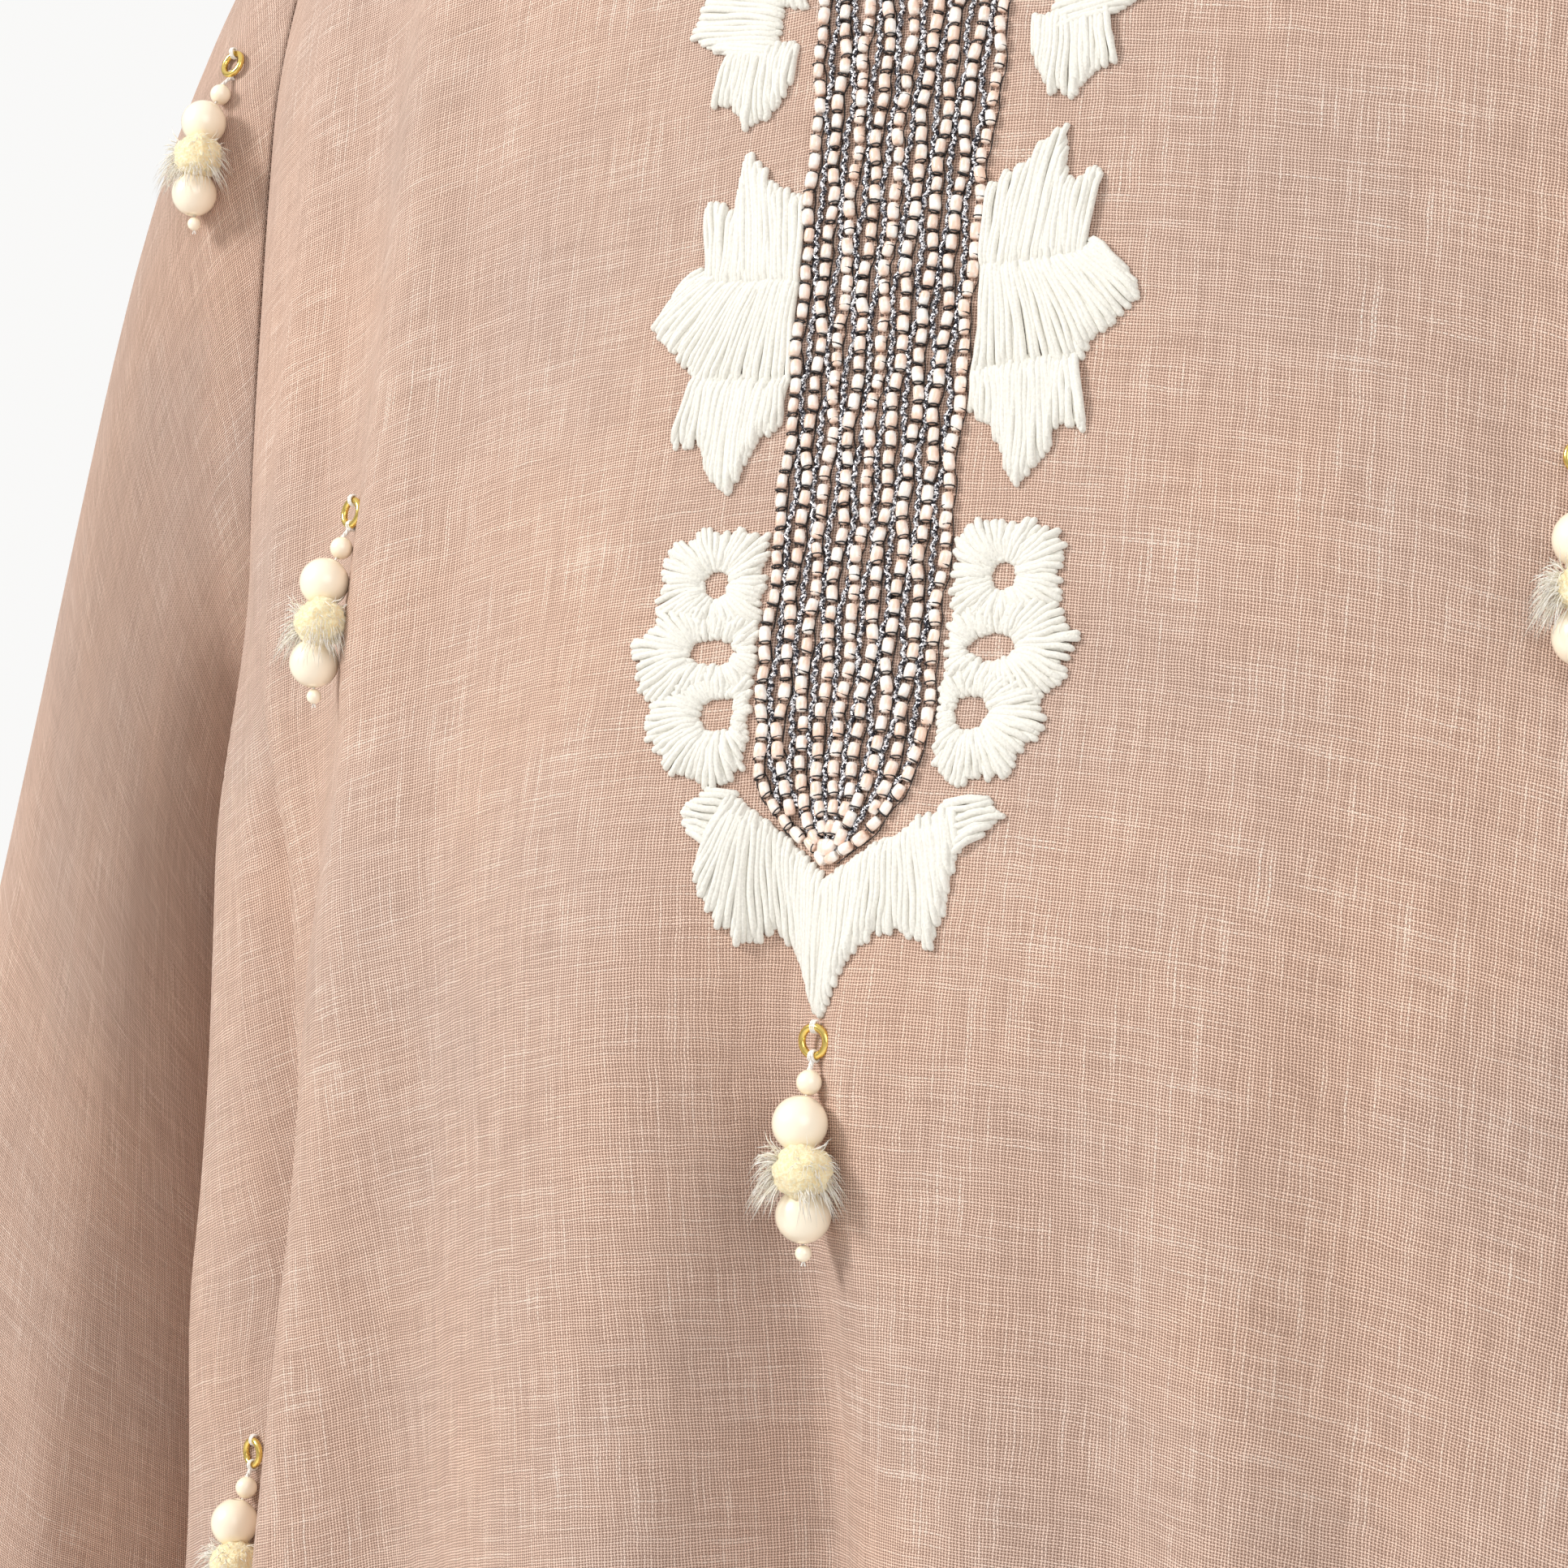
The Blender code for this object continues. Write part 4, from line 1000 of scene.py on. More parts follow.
def weave_group():
    """Plain weave with slubs: the threads' random tones with painted shade where they dip between each other,
    the slubs and the height, from a place in metres.
    """
    found = bpy.data.node_groups.get("plain weave")
    if found:
        return found
    tree, entry, out = new_group("plain weave", "ShaderNodeTree", (
        ("Vector", "Vector", None),
        ("Warp Pitch", "Float", 0.0006),
        ("Weft Pitch", "Float", 0.0005),
        ("Slub Length", "Float", 0.03),
    ), [(label, "Float", None) for label in ("Shade", "Slub", "Height")])
    place = add(tree, "ShaderNodeSeparateXYZ", {0: entry["Vector"]}).outputs
    drift = add(tree, "ShaderNodeTexNoise", {"Vector": entry["Vector"], "Scale": 130.0, "Detail": 2.0})
    drift = add(tree, "ShaderNodeSeparateColor", {0: drift.outputs["Color"]}).outputs
    u = math_node(tree, "DIVIDE", place[0], entry["Warp Pitch"])
    v = math_node(tree, "DIVIDE", place[1], entry["Weft Pitch"])
    u = math_node(tree, "MULTIPLY_ADD", drift[0], 1.6, u)
    v = math_node(tree, "MULTIPLY_ADD", drift[1], 1.9, v)
    waves = [math_node(tree, "SINE", math_node(tree, "MULTIPLY", value, math.pi)) for value in (u, v)]
    warp, weft = (math_node(tree, "ABSOLUTE", wave) for wave in waves)
    over = math_node(tree, "MULTIPLY_ADD", math_node(tree, "MULTIPLY", *waves), 0.5, 0.5)
    under = math_node(tree, "SUBTRACT", 1.0, over)
    warp_high = math_node(tree, "MULTIPLY", warp, math_node(tree, "MULTIPLY_ADD", over, 0.6, 0.4))
    weft_high = math_node(tree, "MULTIPLY", weft, math_node(tree, "MULTIPLY_ADD", under, 0.6, 0.4))
    top = math_node(tree, "MAXIMUM", warp_high, weft_high)
    slubs, shades = [], []
    for thread, along in ((u, place[1]), (v, place[0])):
        number = math_node(tree, "MULTIPLY", math_node(tree, "FLOOR", thread), 3.713)
        run = math_node(tree, "DIVIDE", along, entry["Slub Length"])
        where = add(tree, "ShaderNodeCombineXYZ", {0: number, 1: run}).outputs[0]
        thickness = noise(tree, where, 1.0, 1.0)
        slubs.append(from_to(tree, thickness, 0.56, 0.74))
        shades.append(from_to(tree, thickness, 0.28, 0.62, 0.62, 1.0))
    warp_top = from_to(tree, math_node(tree, "SUBTRACT", warp_high, weft_high), -0.08, 0.08)
    weft_top = math_node(tree, "SUBTRACT", 1.0, warp_top)
    slub = math_node(tree, "ADD", math_node(tree, "MULTIPLY", slubs[0], warp_top),
                     math_node(tree, "MULTIPLY", slubs[1], weft_top))
    shade = math_node(tree, "ADD", math_node(tree, "MULTIPLY", shades[0], warp_top),
                      math_node(tree, "MULTIPLY", shades[1], weft_top))
    # Painted shade: the threads are darkened where they lie low, between each other
    shade = math_node(tree, "MULTIPLY", shade, from_to(tree, top, 0.32, 0.90, 0.05, 1.0))
    tree.links.new(shade, out["Shade"])
    tree.links.new(slub, out["Slub"])
    tree.links.new(math_node(tree, "MULTIPLY_ADD", slub, 0.35, top), out["Height"])
    return tree


def linen():
    """Slubby taupe linen with a soft sheen."""
    found = bpy.data.materials.get("slubby linen")
    if found:
        return found
    own = settings()
    made, tree, shader = new_material(
        "slubby linen", own.linen_colour, 0.82, Sheen_Weight=0.12, Sheen_Roughness=0.5,
        Sheen_Tint=(1.0, 0.93, 0.87, 1.0), Specular_IOR_Level=0.2,
    )
    place = add(tree, "ShaderNodeUVMap", uv_map="weave").outputs[0]
    weave = add(tree, "ShaderNodeGroup", node_tree=weave_group())
    tree.links.new(place, weave.inputs["Vector"])
    weave.inputs["Warp Pitch"].default_value = own.warp_pitch
    weave.inputs["Weft Pitch"].default_value = own.weft_pitch
    weave.inputs["Slub Length"].default_value = 0.017
    clouds = noise(tree, place, 14.0, 3.0)
    # Painted shade: the gap colour comes in where the weave's shade is low, between the threads
    body = mix_colours(tree, weave.outputs["Shade"], own.gap_shade_colour, own.linen_colour)
    patches = noise(tree, place, 37.0, 1.0)
    pale = math_node(tree, "MULTIPLY", weave.outputs["Slub"], from_to(tree, patches, 0.36, 0.68, 0.10, 0.42))
    body = mix_colours(tree, pale, body, own.slub_colour)
    warm = mix_colours(tree, from_to(tree, clouds, 0.35, 0.65), (0.94, 0.95, 0.97, 1), (1.04, 1.0, 0.97, 1))
    tint = add(tree, "ShaderNodeVectorMath", {0: body, 1: warm}, operation="MULTIPLY").outputs[0]
    tree.links.new(tint, shader.inputs["Base Color"])
    wrinkle = noise(tree, place, 90.0, 4.0)
    low = add(tree, "ShaderNodeBump", {"Height": wrinkle, "Strength": 0.25, "Distance": 0.0008})
    high = add(tree, "ShaderNodeBump", {
        "Height": weave.outputs["Height"], "Strength": 1.0, "Distance": 0.00024, "Normal": low.outputs[0],
    })
    tree.links.new(high.outputs[0], shader.inputs["Normal"])
    return made


def grain_group():
    """Fine grain for small pieces: a mask and a height, from object coordinates. On the beads the mask lays
    painted sheen.
    """
    found = bpy.data.node_groups.get("fine grain")
    if found:
        return found
    tree, entry, out = new_group("fine grain", "ShaderNodeTree", (("Scale", "Float", 1000.0),), (
        ("Mask", "Float", None),
        ("Height", "Float", None),
    ))
    place = add(tree, "ShaderNodeTexCoord").outputs["Object"]
    coarse = noise(tree, place, entry["Scale"], 2.0)
    fine = noise(tree, place, math_node(tree, "MULTIPLY", entry["Scale"], 3.7), 2.0)
    tree.links.new(from_to(tree, coarse, 0.38, 0.62), out["Mask"])
    tree.links.new(math_node(tree, "ADD", coarse, math_node(tree, "MULTIPLY", fine, 0.5)), out["Height"])
    return tree


def grained(name, dark, light, roughness, scale, distance, strength=0.6, **values):
    """A material between two colours by a fine grain, which also roughens its surface. On the beads the paler
    colour is painted sheen.
    """
    found = bpy.data.materials.get(name)
    if found:
        return found
    made, tree, shader = new_material(name, light, roughness, **values)
    grain = add(tree, "ShaderNodeGroup", node_tree=grain_group())
    grain.inputs["Scale"].default_value = scale
    tree.links.new(mix_colours(tree, grain.outputs["Mask"], dark, light), shader.inputs["Base Color"])
    bumped = add(tree, "ShaderNodeBump", {
        "Height": grain.outputs["Height"], "Strength": strength, "Distance": distance,
    })
    tree.links.new(bumped.outputs[0], shader.inputs["Normal"])
    return made


def shaded(colour, share):
    """A darker or paler form of a colour."""
    return tuple(min(value * share, 1.0) for value in colour[:3]) + (1.0,)


def wool():
    """Soft matt wool."""
    colour = settings().wool_colour
    return grained("wool strands", shaded(colour, 0.90), colour, 0.9, 2100.0, 0.00030, Sheen_Weight=0.3,
                   Specular_IOR_Level=0.15)


def bead_satin_painted_sheen():
    """Satin tube beads in their own peach, with paler patches of painted sheen spread by a fine noise."""
    colour = settings().bead_sheen_colour
    # The peach is the beads' own colour; the bead colour is painted sheen on about half of each bead
    return grained("bead satin with painted sheen", (0.90, 0.64, 0.50, 1), colour, 0.28, 420.0, 0.00012,
                   Coat_Weight=1.0, Coat_Roughness=0.22, Specular_IOR_Level=0.9)


def glitter():
    """Metal thread cord: silver facets on black."""
    found = bpy.data.materials.get("glitter cord")
    if found:
        return found
    made, tree, shader = new_material("glitter cord", (0.3, 0.3, 0.32, 1), 0.3, Metallic=0.75)
    place = add(tree, "ShaderNodeTexCoord").outputs["Object"]
    cells = add(tree, "ShaderNodeTexVoronoi", {"Vector": place, "Scale": 3300.0}).outputs["Color"]
    parts = add(tree, "ShaderNodeSeparateColor", {0: cells}).outputs
    facets = from_to(tree, parts[0], 0.42, 0.80)
    body = mix_colours(tree, facets, (0.03, 0.03, 0.04, 1), (0.88, 0.87, 0.90, 1))
    tree.links.new(body, shader.inputs["Base Color"])
    tree.links.new(from_to(tree, parts[1], 0.0, 1.0, 0.18, 0.5), shader.inputs["Roughness"])
    bumped = add(tree, "ShaderNodeBump", {"Height": parts[2], "Strength": 0.7, "Distance": 0.00012})
    tree.links.new(bumped.outputs[0], shader.inputs["Normal"])
    return made


def black_thread():
    """Black sewing thread."""
    return grained("black thread", (0.008, 0.008, 0.010, 1), (0.03, 0.028, 0.03, 1), 0.55, 2600.0, 0.00005)


def white_thread():
    """White sewing thread."""
    return grained("white thread", (0.74, 0.71, 0.66, 1), (0.92, 0.90, 0.86, 1), 0.7, 3000.0, 0.00006,
                   Sheen_Weight=0.2)


def sewing_thread():
    """Thread in the linen's own colour."""
    colour = settings().linen_colour
    return grained("sewing thread", shaded(colour, 0.85), shaded(colour, 1.15), 0.7, 2600.0, 0.00005)


def gold():
    """Polished gold plate."""
    colour = settings().gold_colour
    return grained("gold wire", shaded(colour, 0.92), colour, 0.16, 900.0, 0.00002, strength=0.25,
                   Metallic=1.0)


def pearl():
    """Coated pearls: cream under a clear coat that warms them most at the rim."""
    found = bpy.data.materials.get("coated pearl")
    if found:
        return found
    colour = settings().pearl_colour
    made, tree, shader = new_material(
        "coated pearl", colour, 0.34, Coat_Weight=1.0, Coat_Roughness=0.18, Coat_Tint=(1.0, 0.95, 0.85, 1.0),
        Specular_IOR_Level=0.8,
    )
    place = add(tree, "ShaderNodeTexCoord").outputs["Object"]
    waves = noise(tree, place, 260.0, 1.0)
    bumped = add(tree, "ShaderNodeBump", {"Height": waves, "Strength": 0.12, "Distance": 0.0004})
    tree.links.new(bumped.outputs[0], shader.inputs["Normal"])
    return made


def pompom_core():
    """Pale yellow cut thread, seen end on."""
    return grained("pompom core", (0.98, 0.80, 0.44, 1), (1.0, 0.92, 0.64, 1), 0.8, 1700.0, 0.0005,
                   strength=0.8, Sheen_Weight=0.4)


def silk():
    """Silky white fibres."""
    return grained("silk fibre", (0.86, 0.80, 0.66, 1), (0.93, 0.91, 0.86, 1), 0.42, 900.0, 0.00004,
                   Sheen_Weight=0.3)


# The pieces


def dress(piece, material, body, nodes=()):
    """Give a piece its material and body, and hide the solids that it stands for."""
    piece.data.materials.clear()
    piece.data.materials.append(material)
    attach(piece, body)
    if nodes:
        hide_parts(*nodes)
    return piece


class JALABIYA_OT_linen(bpy.types.Operator):
    """Make the linen front, back and sleeves"""

    bl_idname = "jalabiya.linen"
    bl_label = "Linen"

    def execute(self, context):
        """Make the four panels and hide the solids that they stand for."""
        for front, cut, area in ((True, (0.98, 1.41), 1.02), (False, (1.0, 1.43), 1.06)):
            piece = make_panel(front)
            dress(piece, linen(), "garment", ["front" if front else "back"])
        for side, word in ((-1, "right"), (1, "left")):
            piece = make_sleeve(side)
            dress(piece, linen(), "garment", [f"sleeve_{word}"])
        return {"FINISHED"}


def smoothed(points, passes):
    """A path with its corners rounded."""
    points = np.array(points, float)
    for _ in range(passes):
        points[1:-1] = (points[:-2] + 2 * points[1:-1] + points[2:]) / 4
    return points


def spread(points, count):
    """A path as evenly spaced points."""
    points = np.array(points, float)
    run = run_of(points)
    at = np.linspace(0, run[-1], count)
    return np.stack([np.interp(at, run, points[:, i]) for i in range(points.shape[1])], axis=1)


def arm_edges():
    """The inner and outer edge of the band's arm, from the slit's tip up and round the neck."""
    steps = np.linspace(0.0, BAND_END, 30)
    x, z = neck_edge(True, steps)
    ahead_x, ahead_z = neck_edge(True, steps + 0.01)
    along = unit(np.stack([ahead_x - x, ahead_z - z], axis=-1))
    away = np.stack([along[:, 1], -along[:, 0]], axis=-1)
    neck = np.stack([x, z], axis=-1)
    inner = np.concatenate([[(0.0, SLIT_TIP_Z)], neck])
    outer = np.concatenate([[(BAND[0][1], BAND[0][0])], (neck + away * BAND_ARM)[3:]])
    return spread(smoothed(spread(inner, 60), 2), 60), spread(smoothed(spread(outer, 60), 6), 60)


def band_rows():
    """The beads' and the cords' paths as (x, z), with the row's number: whole for beads, half for cords."""
    rows = []
    inner, outer = arm_edges()
    down = np.linspace(SLIT_TIP_Z - 0.002, BAND[-1][0], 90)
    half = read(BAND, BAND_COLUMNS, "half_width", down)
    half = np.where(down < BAND[-2][0], np.interp(down, (BAND[-1][0], BAND[-2][0]), (0, BAND[-2][1])), half)
    for step in range(2 * ROWS_A_SIDE + 1):
        number = step / 2
        share = number / ROWS_A_SIDE
        x = share * (half - BAND_EDGE)
        if number == ROWS_A_SIDE:
            keep = half > BAND_EDGE
        else:
            keep = x < half - BAND_EDGE - (BEAD_CLEAR if number == int(number) else CORD_CLEAR)
        path = np.stack([x[keep], down[keep]], axis=1)
        if number:
            late = smooth(np.linspace(0, 1, len(inner)) * 2.2)
            tight = (number - 0.5) / (ROWS_A_SIDE - 0.5) * 0.88 + 0.07
            part = share * 0.94 * (1 - late) + tight * late
            upper = inner + (outer - inner) * part[:, None]
            path = np.concatenate([upper[::-1], path])
        path = smoothed(spread(path, 130), 5)
        for side in (-1, 1) if number else (1,):
            rows.append((number, path * np.array([side, 1])))
    return rows


def wandered(path, number):
    """A row as it is sewn by hand, a little off its line. Rows beside each other wander alike."""
    run = run_of(path)
    aside = sum(far * np.sin(run / length + number * shift) for far, length, shift in WANDER)
    aside *= smooth(run / WANDER_START) * smooth((run[-1] - run) / WANDER_START)
    return path + across_of(path) * aside[:, None]


def lay_path(tree, path, lift, radius=0.0, wave=0.0, phase=0.0, wave_length=0.02):
    """A path of (x, z) laid on the front, a little wavy."""
    sideways = wave * np.sin(2 * np.pi * run_of(path) / wave_length + phase)
    path = path + across_of(path) * sideways[:, None]
    laid = []
    for x, z in path:
        place, way = on_front(tree, x, z, lift)
        laid.append((place, way, radius))
    return laid


def build_bead(shape):
    """A short tube bead with soft ends."""
    own = settings()
    r, h = own.bead_width / 2, own.bead_length / 2
    upper = ((r, h * 0.45), (r * 0.86, h * 0.84), (r * 0.45, h * 0.98), (0, h * 0.82))
    lower = [(radius, -height) for radius, height in reversed(upper)]
    turned(shape, (*lower, (r * 1.02, 0.0), *upper), 8)


def build_tie(shape):
    """A turn of black thread round the gap between two beads."""
    torus(shape, settings().bead_width * 0.43, 0.00015, 8, 4, Matrix.Diagonal((1, 1.15, 1, 1)))


def build_link(shape):
    """One lap of the glitter cord."""
    wide = settings().cord_width
    lap = ((0, -0.5), (0.26, -0.42), (0.40, -0.18), (0.40, 0.18), (0.26, 0.42), (0, 0.5))
    turned(shape, [(r * wide, h * wide * 1.7) for r, h in lap], 6, Matrix.Diagonal((0.8, 1.0, 1, 1)))


class JALABIYA_OT_band(bpy.types.Operator):
    """Sew the bead rows and glitter cords of the neck band"""

    bl_idname = "jalabiya.band"
    bl_label = "Neck band"

    def execute(self, context):
        """Lay the rows on the linen front and repeat beads, ties and laps along them."""
        own = settings()
        tree = cloth_tree("linen_front")
        bead_paths, cord_paths, thread_paths = [], [], []
        for i, (number, path) in enumerate(band_rows()):
            if number == int(number):
                path = wandered(path, i)
                bead_paths.append(lay_path(tree, path, own.bead_width / 2))
                for aside in (-1, 1):
                    shift = across_of(path) * own.bead_width * 0.47 * aside
                    thread_paths.append(lay_path(tree, path + shift, 0.00025, 0.00012, 0.00032, i + aside,
                                                 own.bead_pitch))
            else:
                cord_paths.append(lay_path(tree, wandered(path, i), own.cord_width * 0.42, wave=0.0002,
                                           phase=2 * i, wave_length=0.011))
        bead = shape_object("bead_shape", build_bead)
        tie = shape_object("tie_shape", build_tie)
        link = shape_object("link_shape", build_link)
        beads = run_tree("band_beads", paths_object("bead_paths", bead_paths), repeat_tree(), {
            "Shape": bead, "Material": bead_satin_painted_sheen(), "Pitch": own.bead_pitch, "Turn Varies": 0.20,
            "Size Varies": 0.10, "Seed": own.seed,
        })
        tie_paths = [shifted_half(path, own.bead_pitch) for path in bead_paths]
        ties = run_tree("band_ties", paths_object("tie_paths", tie_paths), repeat_tree(), {
            "Shape": tie, "Material": black_thread(), "Pitch": own.bead_pitch, "Turn Varies": 0.3,
            "Size Varies": 0.05, "Seed": own.seed + 1,
        })
        threads = run_tree("band_threads", paths_object("thread_paths", thread_paths), thread_tree(), {
            "Material": black_thread(), "Sides": 4, "Length Of Step": 0.0009,
        })
        cords = run_tree("band_cords", paths_object("cord_paths", cord_paths), repeat_tree(), {
            "Shape": link, "Material": glitter(), "Pitch": own.cord_width * 0.90, "Sway": 0.5,
            "Turn Varies": 0.1, "Size Varies": 0.08, "Seed": own.seed + 2,
        })
        for helper in (bead, tie, link):
            bpy.data.objects.remove(helper)
        dress(beads, bead_satin_painted_sheen(), "garment", ["bead_band"])
        dress(ties, black_thread(), "garment")
        dress(threads, black_thread(), "garment")
        dress(cords, glitter(), "garment")
        return {"FINISHED"}


def shifted_half(path, pitch):
    """A path without its first and last half step, so that its repeats fall between those of the whole."""
    run = run_of([tuple(place) for place, _, _ in path])
    steps = max(round(run[-1] / pitch), 1)
    cut = run[-1] / steps / 2
    return [point for point, at in zip(path, run) if cut <= at <= run[-1] - cut]


def strand(tree, start, end, radius, rng, bend, lift):
    """One wool strand: it comes up out of the linen, lies over it and goes back in, with round ends."""
    start, end = np.array(start) / 1000, np.array(end) / 1000
    way = unit(end - start)
    side = np.array([-way[1], way[0]])
    start = start - way * rng.uniform(-0.0006, 0.0008)
    end = end + way * rng.uniform(-0.0012, 0.0006) + side * rng.uniform(-0.0005, 0.0005)
    length = np.linalg.norm(end - start)
    radius *= rng.uniform(0.88, 1.12)
    lift += rng.uniform(-0.00012, 0.00012)
    phase, wave = rng.uniform(0, 6.3), rng.uniform(0.00006, 0.00022)
    cap = radius * np.array([0.0, 0.18, 0.55, 1.0])
    inner = np.linspace(cap[-1], length - cap[-1], max(int(length / 0.0017), 2))
    path = []
    for run in np.concatenate([cap[:-1], inner, (length - cap[:-1])[::-1]]):
        t = run / length
        near_end = min(run, length - run)
        aside = bend * length * math.sin(math.pi * t) + wave * math.sin(9 * t + phase)
        x, z = start + (end - start) * t + side * aside
        high = lift * float(smooth(near_end / (2.4 * radius))) + 0.00018
        place, out = on_front(tree, x, z, high)
        round_off = math.sqrt(1 - (1 - min(near_end / radius, 1)) ** 2)
        path.append((place, out, radius * max(round_off, 0.16)))
    return path


def fan(first, second, pitch):
    """Pairs of ends spread evenly along two lines, as close together as the longer one needs."""
    count = int(max(run_of(first)[-1], run_of(second)[-1]) / pitch)
    return zip(spread(first, count), spread(second, count))


def petal_fan(centre, hole, reach, pitch):
    """Pairs of ends all round a petal's hole."""
    turns, radii = np.array(reach, float).T
    turns, radii = np.append(turns, turns[0] + 360), np.append(radii, radii[0])
    count = int(2 * math.pi * radii.mean() / pitch)
    for turn in np.linspace(turns[0], turns[-1], count, endpoint=False):
        outer = np.interp(turn, turns, radii)
        way = np.array([math.cos(math.radians(turn)), math.sin(math.radians(turn))])
        if way[0] < 0:
            outer = min(outer, (centre[0] - PETAL_EDGE) / -way[0])
        start = centre + way * hole
        if outer > np.linalg.norm(start - centre) + 1.2:
            yield start, centre + way * outer


class JALABIYA_OT_wool(bpy.types.Operator):
    """Sew the white wool leaves, petals and crown"""

    bl_idname = "jalabiya.wool"
    bl_label = "Wool embroidery"

    def execute(self, context):
        """Lay every strand on the linen and round it off."""
        own = settings()
        tree = cloth_tree("linen_front")
        rng = np.random.default_rng(own.seed)
        pitch = own.wool_width * 1000 * WOOL_PITCH
        groups = {}
        for side, word in ((-1, "right"), (1, "left")):
            flip = np.array([side, 1])
            ends = [(kind, pair) for kind, first, second in WOOL_FANS for pair in fan(first, second, pitch)]
            ends += [(kind, pair) for kind, centre, hole, reach in WOOL_PETALS
                     for pair in petal_fan(np.array(centre), np.array(hole), reach, pitch)]
            for number, (kind, (start, end)) in enumerate(ends):
                if kind.startswith("crown") and not kind.endswith(word):
                    continue
                name = "wool_crown" if kind.startswith("crown") else f"wool_{kind}_{word}"
                lift = WOOL_LIFTS[number % 2]
                groups.setdefault(name, []).append(
                    strand(tree, start * flip, end * flip, own.wool_width / 2, rng, 0.02 * side, lift)
                )
        for name, paths in groups.items():
            piece = run_tree(name, paths_object(name + "_paths", paths), thread_tree(), {
                "Material": wool(), "Sides": 6, "Even Steps": False,
            })
            dress(piece, wool(), "garment", [name.replace("wool", "motif")])
        return {"FINISHED"}


def pearl_profile(radius, hole, rings):
    """A round profile whose drilled ends turn in."""
    start = math.asin(hole / radius)
    profile = [(0, -radius * 0.80), (hole * 0.8, -radius * 0.86)]
    for k in range(rings + 1):
        turn = start + (math.pi - 2 * start) * k / rings
        profile.append((radius * math.sin(turn), -radius * math.cos(turn)))
    return profile + [(hole * 0.8, radius * 0.86), (0, radius * 0.80)]


def centre_of(node):
    """The middle of a solid."""
    low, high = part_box(node)
    return (low + high) / 2


def ring_facing(node):
    """The way that a ring's solid faces."""
    points = np.array([v.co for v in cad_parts[node].data.vertices])
    _, _, axes = np.linalg.svd(points - points.mean(axis=0))
    way = Vector(axes[2])
    return way if way.y < 0 else -way


def turn_from(up, place, facing):
    """A matrix that puts +Z along `up` and +X nearest to `facing`, at a place."""
    up = up.normalized()
    side = up.cross(facing).normalized()
    front = side.cross(up)
    return Matrix.Translation(place) @ Matrix((front, side, up)).transposed().to_4x4()


def make_fibre(shape):
    """One fibre, bent a little, with a fine end."""
    steps, long, thick, bend = 4, 0.0048, 0.00010, 0.0014
    rings = []
    for k in range(steps):
        t = k / steps
        centre = Vector((bend * t * t, 0.0003 * math.sin(5 * t), long * t))
        r = thick * (1 - 0.5 * t)
        rings.append([
            shape.verts.new(centre + Vector((r * math.cos(a), r * math.sin(a), 0)))
            for a in (0, 2 * math.pi / 3, 4 * math.pi / 3)
        ])
    tip = shape.verts.new((bend, 0, long))
    for low, high in zip(rings, rings[1:]):
        for i in range(3):
            shape.faces.new((low[i], low[(i + 1) % 3], high[(i + 1) % 3], high[i]))
    for i in range(3):
        shape.faces.new((rings[-1][i], rings[-1][(i + 1) % 3], tip))
    shape.faces.new(rings[0][::-1])


def make_pompom(pendant, facing):
    """A lumpy core of cut thread, with silky fibres standing out to both sides behind it."""
    own = settings()
    node = f"{pendant}_pompom"
    centre = centre_of(node)
    seed = own.seed + PENDANTS.index(pendant) * 11
    rng = np.random.default_rng(seed)

    def build_core(shape):
        """A flattened ball with lumps."""
        bmesh.ops.create_icosphere(shape, subdivisions=4, radius=CORE)
        lumps = unit(rng.normal(size=(120, 3)))
        for vertex in shape.verts:
            near = np.max(lumps @ np.array(vertex.co.normalized()))
            vertex.co *= 0.88 + 0.15 * math.exp(-((1 - near) / 0.016))
            vertex.co.z *= 0.95

    core = shape_object(f"{pendant}_pompom_core", build_core)
    core.data.transform(Matrix.Translation(centre + Vector(POMPOM_SHIFT)))
    dress(core, pompom_core(), pendant, [node])
    fibre = shape_object("fibre_shape", make_fibre)

    def build_ball(shape):
        """The core's smooth form, for its nap to stand on."""
        bmesh.ops.create_icosphere(shape, subdivisions=3, radius=NAP_BALL)
        bmesh.ops.scale(shape, vec=(1, 1, 0.88), verts=shape.verts)

    ball = shape_object("core_skin", build_ball)
    ball.data.transform(Matrix.Translation(centre + Vector(POMPOM_SHIFT)))
    nap = run_tree(f"{pendant}_pompom_nap", ball, fibre_tree(), {
        "Shape": fibre, "Material": pompom_core(), "Density": own.pompom_nap / NAP_AREA, "Lean": 0.5,
        "Shortest": 0.18, "Longest": 0.32, "Seed": seed + 3,
    })
    dress(nap, pompom_core(), pendant)

    def build_skin(shape):
        """The surface that the fibres stand on, open where the pearls, the cloth and the core are."""
        bmesh.ops.create_icosphere(shape, subdivisions=3, radius=FIBRE_SKIN)
        open_faces = []
        for face in shape.faces:
            way = face.calc_center_median().normalized()
            if abs(way.z) > 0.62 or way.dot(facing) < -0.5 or way.dot(facing) > 0.72:
                open_faces.append(face)
        bmesh.ops.delete(shape, geom=open_faces, context="FACES")

    skin = shape_object("fibre_skin", build_skin)
    skin.data.transform(Matrix.Translation(centre))
    area = sum(p.area for p in skin.data.polygons)
    fibres = run_tree(f"{pendant}_pompom_fibres", skin, fibre_tree(), {
        "Shape": fibre, "Material": silk(), "Density": own.pompom_fibres / area, "Lean": 0.42,
        "Shortest": 0.80, "Longest": 1.50, "Seed": seed,
    })
    for vertex in fibres.data.vertices:
        out = (vertex.co - centre).xy.length
        vertex.co.z -= FIBRE_DROOP * max(out - FIBRE_STRAIGHT, 0.0) ** 2
    bpy.data.objects.remove(fibre)
    dress(fibres, silk(), pendant)


